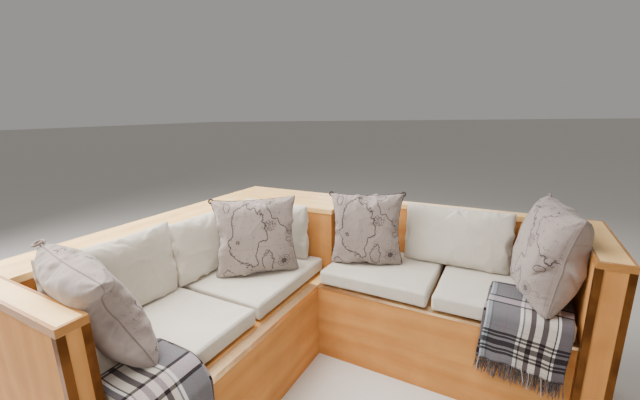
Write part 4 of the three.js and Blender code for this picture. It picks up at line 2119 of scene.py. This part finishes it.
    def knot(self, folds: Folds) -> Object:
        """Makes the fringe on both ends of the throw, two twisted yarns to a tassel.

        Args:
            folds: The folds across the width.

        Returns:
            The fringe.
        """
        rng = np.random.default_rng(int(self.seed * 77))
        flats = np.arange(0.004, self.layers * self.width - 0.003, 0.0085)
        flats = flats + rng.uniform(-0.0015, 0.0015, len(flats))
        given = Folds(*(np.interp(flats, folds.flat, part) for part in folds))
        out, right = np.array(self.out), np.array(self.side)
        share = np.linspace(0, 1, 9)[:, None]
        around = np.linspace(0, math.tau, 5, endpoint=False)
        points, faces, flat = [], [], []
        for ply in (1.0, -1.0):
            sides = np.full(len(flats), ply)
            places = self.hang - np.outer((0.001, 0.02), np.ones(len(flats)))
            roots, above = (self.spots(given, row, sides) for row in places)
            for place, root, fall in zip(flats, roots, unit(roots - above)):
                sway = rng.normal(0, 0.10, 2)
                way = unit(fall + right * sway[0] + out * abs(sway[1]) * 0.6)
                length = self.fringe * rng.uniform(0.82, 1.08)
                first = unit(np.cross(way, out))
                second = np.cross(way, first)
                tone, phase = rng.uniform(), rng.uniform(0, math.tau)
                curl = rng.normal(0, 0.004, 2)
                line = root + way * length * share + (first * curl[0] + second * curl[1]) * share**2
                ring = spokes(first, second, around)
                for strand in (0.0, math.pi):
                    twist = phase + strand + share[:, 0] * length / 0.011 * math.pi
                    centre = line + self.yarn * (1 + 0.8 * share**6) * spokes(first, second, twist)
                    rings = centre[:, None] + self.yarn * (1 - 0.25 * share[:, None]) * ring
                    faces += ring_faces(len(share), len(around), start=len(points))
                    points += rings.reshape(-1, 3).tolist()
                    flat += [(place + self.stripe_from, part, tone) for part in share[:, 0] for _ in around]
        return mesh_object(self.node + "_fringe", np.array(points), faces, np.array(flat))


# Studio


@dataclass(frozen=True)
class Light:
    """A soft square light.

    Attributes:
        name: Its name.
        at: Its place.
        towards: The point that it faces.
        size: Side of its square in metres.
        power: Its power in watts.
        tint: Its colour.
        spread: Angle of its beam in degrees.
    """

    name: str
    at: Sequence[float]
    towards: Sequence[float]
    size: float
    power: float
    tint: Sequence[float]
    spread: float = 180.0

    def build(self) -> None:
        """Puts the light into the scene."""
        data = bpy.data.lights.new(self.name, "AREA")
        data.spread = math.radians(self.spread)
        data.size, data.energy, data.color = self.size, self.power, self.tint
        made = bpy.data.objects.new(self.name, data)
        made.location = self.at
        made.rotation_mode = "QUATERNION"
        made.rotation_quaternion = (Vector(self.towards) - Vector(self.at)).to_track_quat("-Z", "Y")
        bpy.context.scene.collection.objects.link(made)


@dataclass
class Studio:
    """Plain pale floor, soft light and the camera.

    Attributes:
        lights: The lights.
        camera_at: The camera's place.
        yaw: Camera heading to the left of +Y, in radians.
        pitch: Camera pitch, below 0 looking down.
        roll: Camera roll.
        focal_pixels: Focal length in pixels of the picture.
        picture_width: Width of the picture in pixels.
        sensor: Width of the camera's sensor in millimetres.
        floor_half: Half of the floor's side.
        floor_colour: Colour of the floor.
        air: Colour of the even light all round.
        air_strength: Its strength.
    """

    lights: tuple[Light, ...] = (
        Light("overhead", (-1.1, -0.5, 2.7), (-0.8, -0.3, 0.4), 2.2, 78.0, (1.0, 0.96, 0.90), 110.0),
        Light("window_left", (-3.0, -1.0, 2.3), (-0.3, -0.2, 0.5), 2.4, 170.0, (0.98, 0.98, 1.0)),
        Light("window_back", (-0.6, 2.9, 2.3), (-0.3, 0.0, 0.6), 2.4, 50.0, (1.0, 0.98, 0.95)),
        Light("room", (1.6, -2.6, 1.7), (-0.9, -0.2, 0.5), 2.0, 9.0, (1.0, 0.94, 0.87), 80.0),
    )
    camera_at: tuple[float, float, float] = (0.648, -1.2375, 1.350)
    yaw: float = 0.5019
    pitch: float = -0.2404
    roll: float = -0.0192
    focal_pixels: float = 351.75
    picture_width: float = 640.0
    sensor: float = 36.0
    floor_half: float = 60.0
    floor_colour: Colour = srgb(214, 210, 204)
    air: Colour = (1.0, 0.97, 0.93, 1.0)
    air_strength: float = 0.34

    def build(self) -> None:
        """Makes floor, world, lights and camera."""
        self.floor()
        self.world()
        for light in self.lights:
            light.build()
        self.camera()

    def floor(self) -> None:
        """The floor under the settee."""
        corners = self.floor_half * np.array([(-1, -1, 0), (1, -1, 0), (1, 1, 0), (-1, 1, 0)])
        floor = mesh_object("floor", corners, [(0, 1, 2, 3)])
        material = bpy.data.materials.new("floor_pale")
        material.use_nodes = True
        Graph(material.node_tree).shade({"Base Color": self.floor_colour, "Roughness": 0.7})
        floor.data.materials.append(material)

    def world(self) -> None:
        """An even pale surrounding."""
        world = bpy.data.worlds.new("studio")
        bpy.context.scene.world = world
        world.use_nodes = True
        Graph(world.node_tree).shade({"Color": self.air, "Strength": self.air_strength}, "Background")

    def camera(self) -> None:
        """The camera, where the photograph was taken from."""
        data = bpy.data.cameras.new("camera")
        data.sensor_width = self.sensor
        data.lens = self.sensor * self.focal_pixels / self.picture_width
        data.clip_start, data.clip_end = 0.05, 100.0
        made = bpy.data.objects.new("camera", data)
        made.matrix_world = Matrix.Translation(self.camera_at)
        for angle, axis in ((self.yaw, "Z"), (math.pi / 2 + self.pitch, "X"), (self.roll, "Z")):
            made.matrix_world = made.matrix_world @ Matrix.Rotation(angle, 4, axis)
        bpy.context.scene.collection.objects.link(made)
        bpy.context.scene.camera = made


# The settee


# The solids of each arm that a pillow can lean against
ARM_FACES = (
    ("left_arm_inner_panel", "left_arm_cap"),
    ("right_arm_inner_panel", "right_arm_cap"),
)
# Distances that soft pieces keep from cushions and from the arms
CUSHION_GAP = 0.0006
ARM_GAP = 0.0008
# Room that cushions leave below a pillow that stands on a throw
THROW_ROOM = 0.0095


def soft_pieces() -> tuple[list[SeatCushion], list[BackCushion], list[ScatterPillow], list[Throw]]:
    """Lists the soft pieces.

    Returns:
        The seat cushions, back cushions, scatter pillows and throws.
    """
    ends = ("left", "near"), ("left", "far"), ("right", "left"), ("right", "right")
    seats = [SeatCushion("%s_seat_cushion_%s" % end, seed=1.0 + number) for number, end in enumerate(ends)]
    backs = [
        BackCushion("left_back_cushion_near", heading=85, lean=2, seed=5.0, waists=Waists(0.0, 0.10, 0.0)),
        BackCushion("left_back_cushion_far", heading=90, lean=8, seed=6.0),
        BackCushion("corner_back_cushion", heading=0, lean=2, seed=7.0),
        BackCushion("right_back_cushion", heading=0, lean=7, seed=8.0),
    ]
    # The end pillows take the piping copy whose colour holds painted window light
    pillows = [
        ScatterPillow(
            "left_end_pillow", heading=171.3, lean=21, roll=1, seed=9.0, bed=THROW_ROOM, piping=PAINTED_LIT_PIPING,
            curls=(Curl(1, 0.019, level=True),), tuck=0.045, droop=(-0.036, -0.012, -0.028),
        ),
        ScatterPillow("left_middle_pillow", heading=41.4, lean=9.5, seed=10.0, curls=(Curl(-1),)),
        ScatterPillow(
            "corner_pillow", heading=20.8, lean=7.6, seed=11.0, curls=(Curl(-1), Curl(1)), pleats=0.0021,
            pleat_reach=0.05,
        ),
        ScatterPillow(
            "right_end_pillow", heading=-77.7, lean=10.9, seed=12.0, bed=THROW_ROOM, piping=PAINTED_LIT_PIPING,
            curls=(Curl(-1),), depth_of_creases=0.0016,
        ),
    ]
    rightwards, forwards = Vector((1, 0, 0)), Vector((0, -1, 0))
    throws = [
        Throw(
            "left_throw", ("left_seat_cushion_near", "left_edge_angle"), rightwards, forwards, origin=0.5035,
            width=0.250, layers=4,
            corners=(
                (-0.4700, 0.5170, 0), (-0.2707, 0.5170, 0.060), (-0.2205, 0.4390, 0.012), (-0.2205, 0.224, 0),
            ),
            stripe_from=0.033, band_at=-0.225, seed=4.3,
        ),
        Throw(
            "right_throw", ("right_seat_cushion_right",), forwards, rightwards, origin=0.5990, width=0.310,
            layers=3, corners=((-0.5785, 0.5170, 0), (-0.2970, 0.5170, 0.030), (-0.2970, 0.278, 0)),
            stripe_from=0.0, band_at=0.138, skew=0.077, slant=0.054, seed=2.1, ragged=0.013,
        ),
    ]
    return seats, backs, pillows, throws


def main() -> None:
    """Builds the settee's looks piece by piece."""
    logging.basicConfig(level=logging.INFO, format="%(name)s: %(message)s")
    Joinery().dress()
    Studio().build()
    seats, backs, pillows, throws = soft_pieces()
    pieces: list[SoftPiece] = [*seats, *backs, *pillows]
    for piece in pieces:
        piece.cut()
    Filling().run(pieces)
    for piece in pieces:
        piece.shape()
        piece.put()
    for above in (*backs, *pillows):
        tree = search_tree(above.obj)
        for seat in seats:
            seat.fit_over(tree, above.bed, turned=True)
    for seat in seats:
        tree = search_tree(seat.obj)
        for back in backs:
            back.fit_over(tree)
    for throw, seat in zip(throws, (seats[0], seats[3])):
        throw.build(search_tree(seat.obj))
    arms = [search_tree(*(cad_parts[name] for name in names)) for names in ARM_FACES]
    for pillow, under in zip(pillows, (throws[0], seats[1], seats[2], throws[1])):
        pillow.fit_over(search_tree(under.obj))
        for back in backs:
            pillow.push_out(search_tree(back.obj), CUSHION_GAP)
        for arm in arms:
            pillow.push_out(arm, ARM_GAP)
        pillow.add_piping()
    for piece in pieces:
        piece.hand_over()


if __name__ == "__main__":
    main()
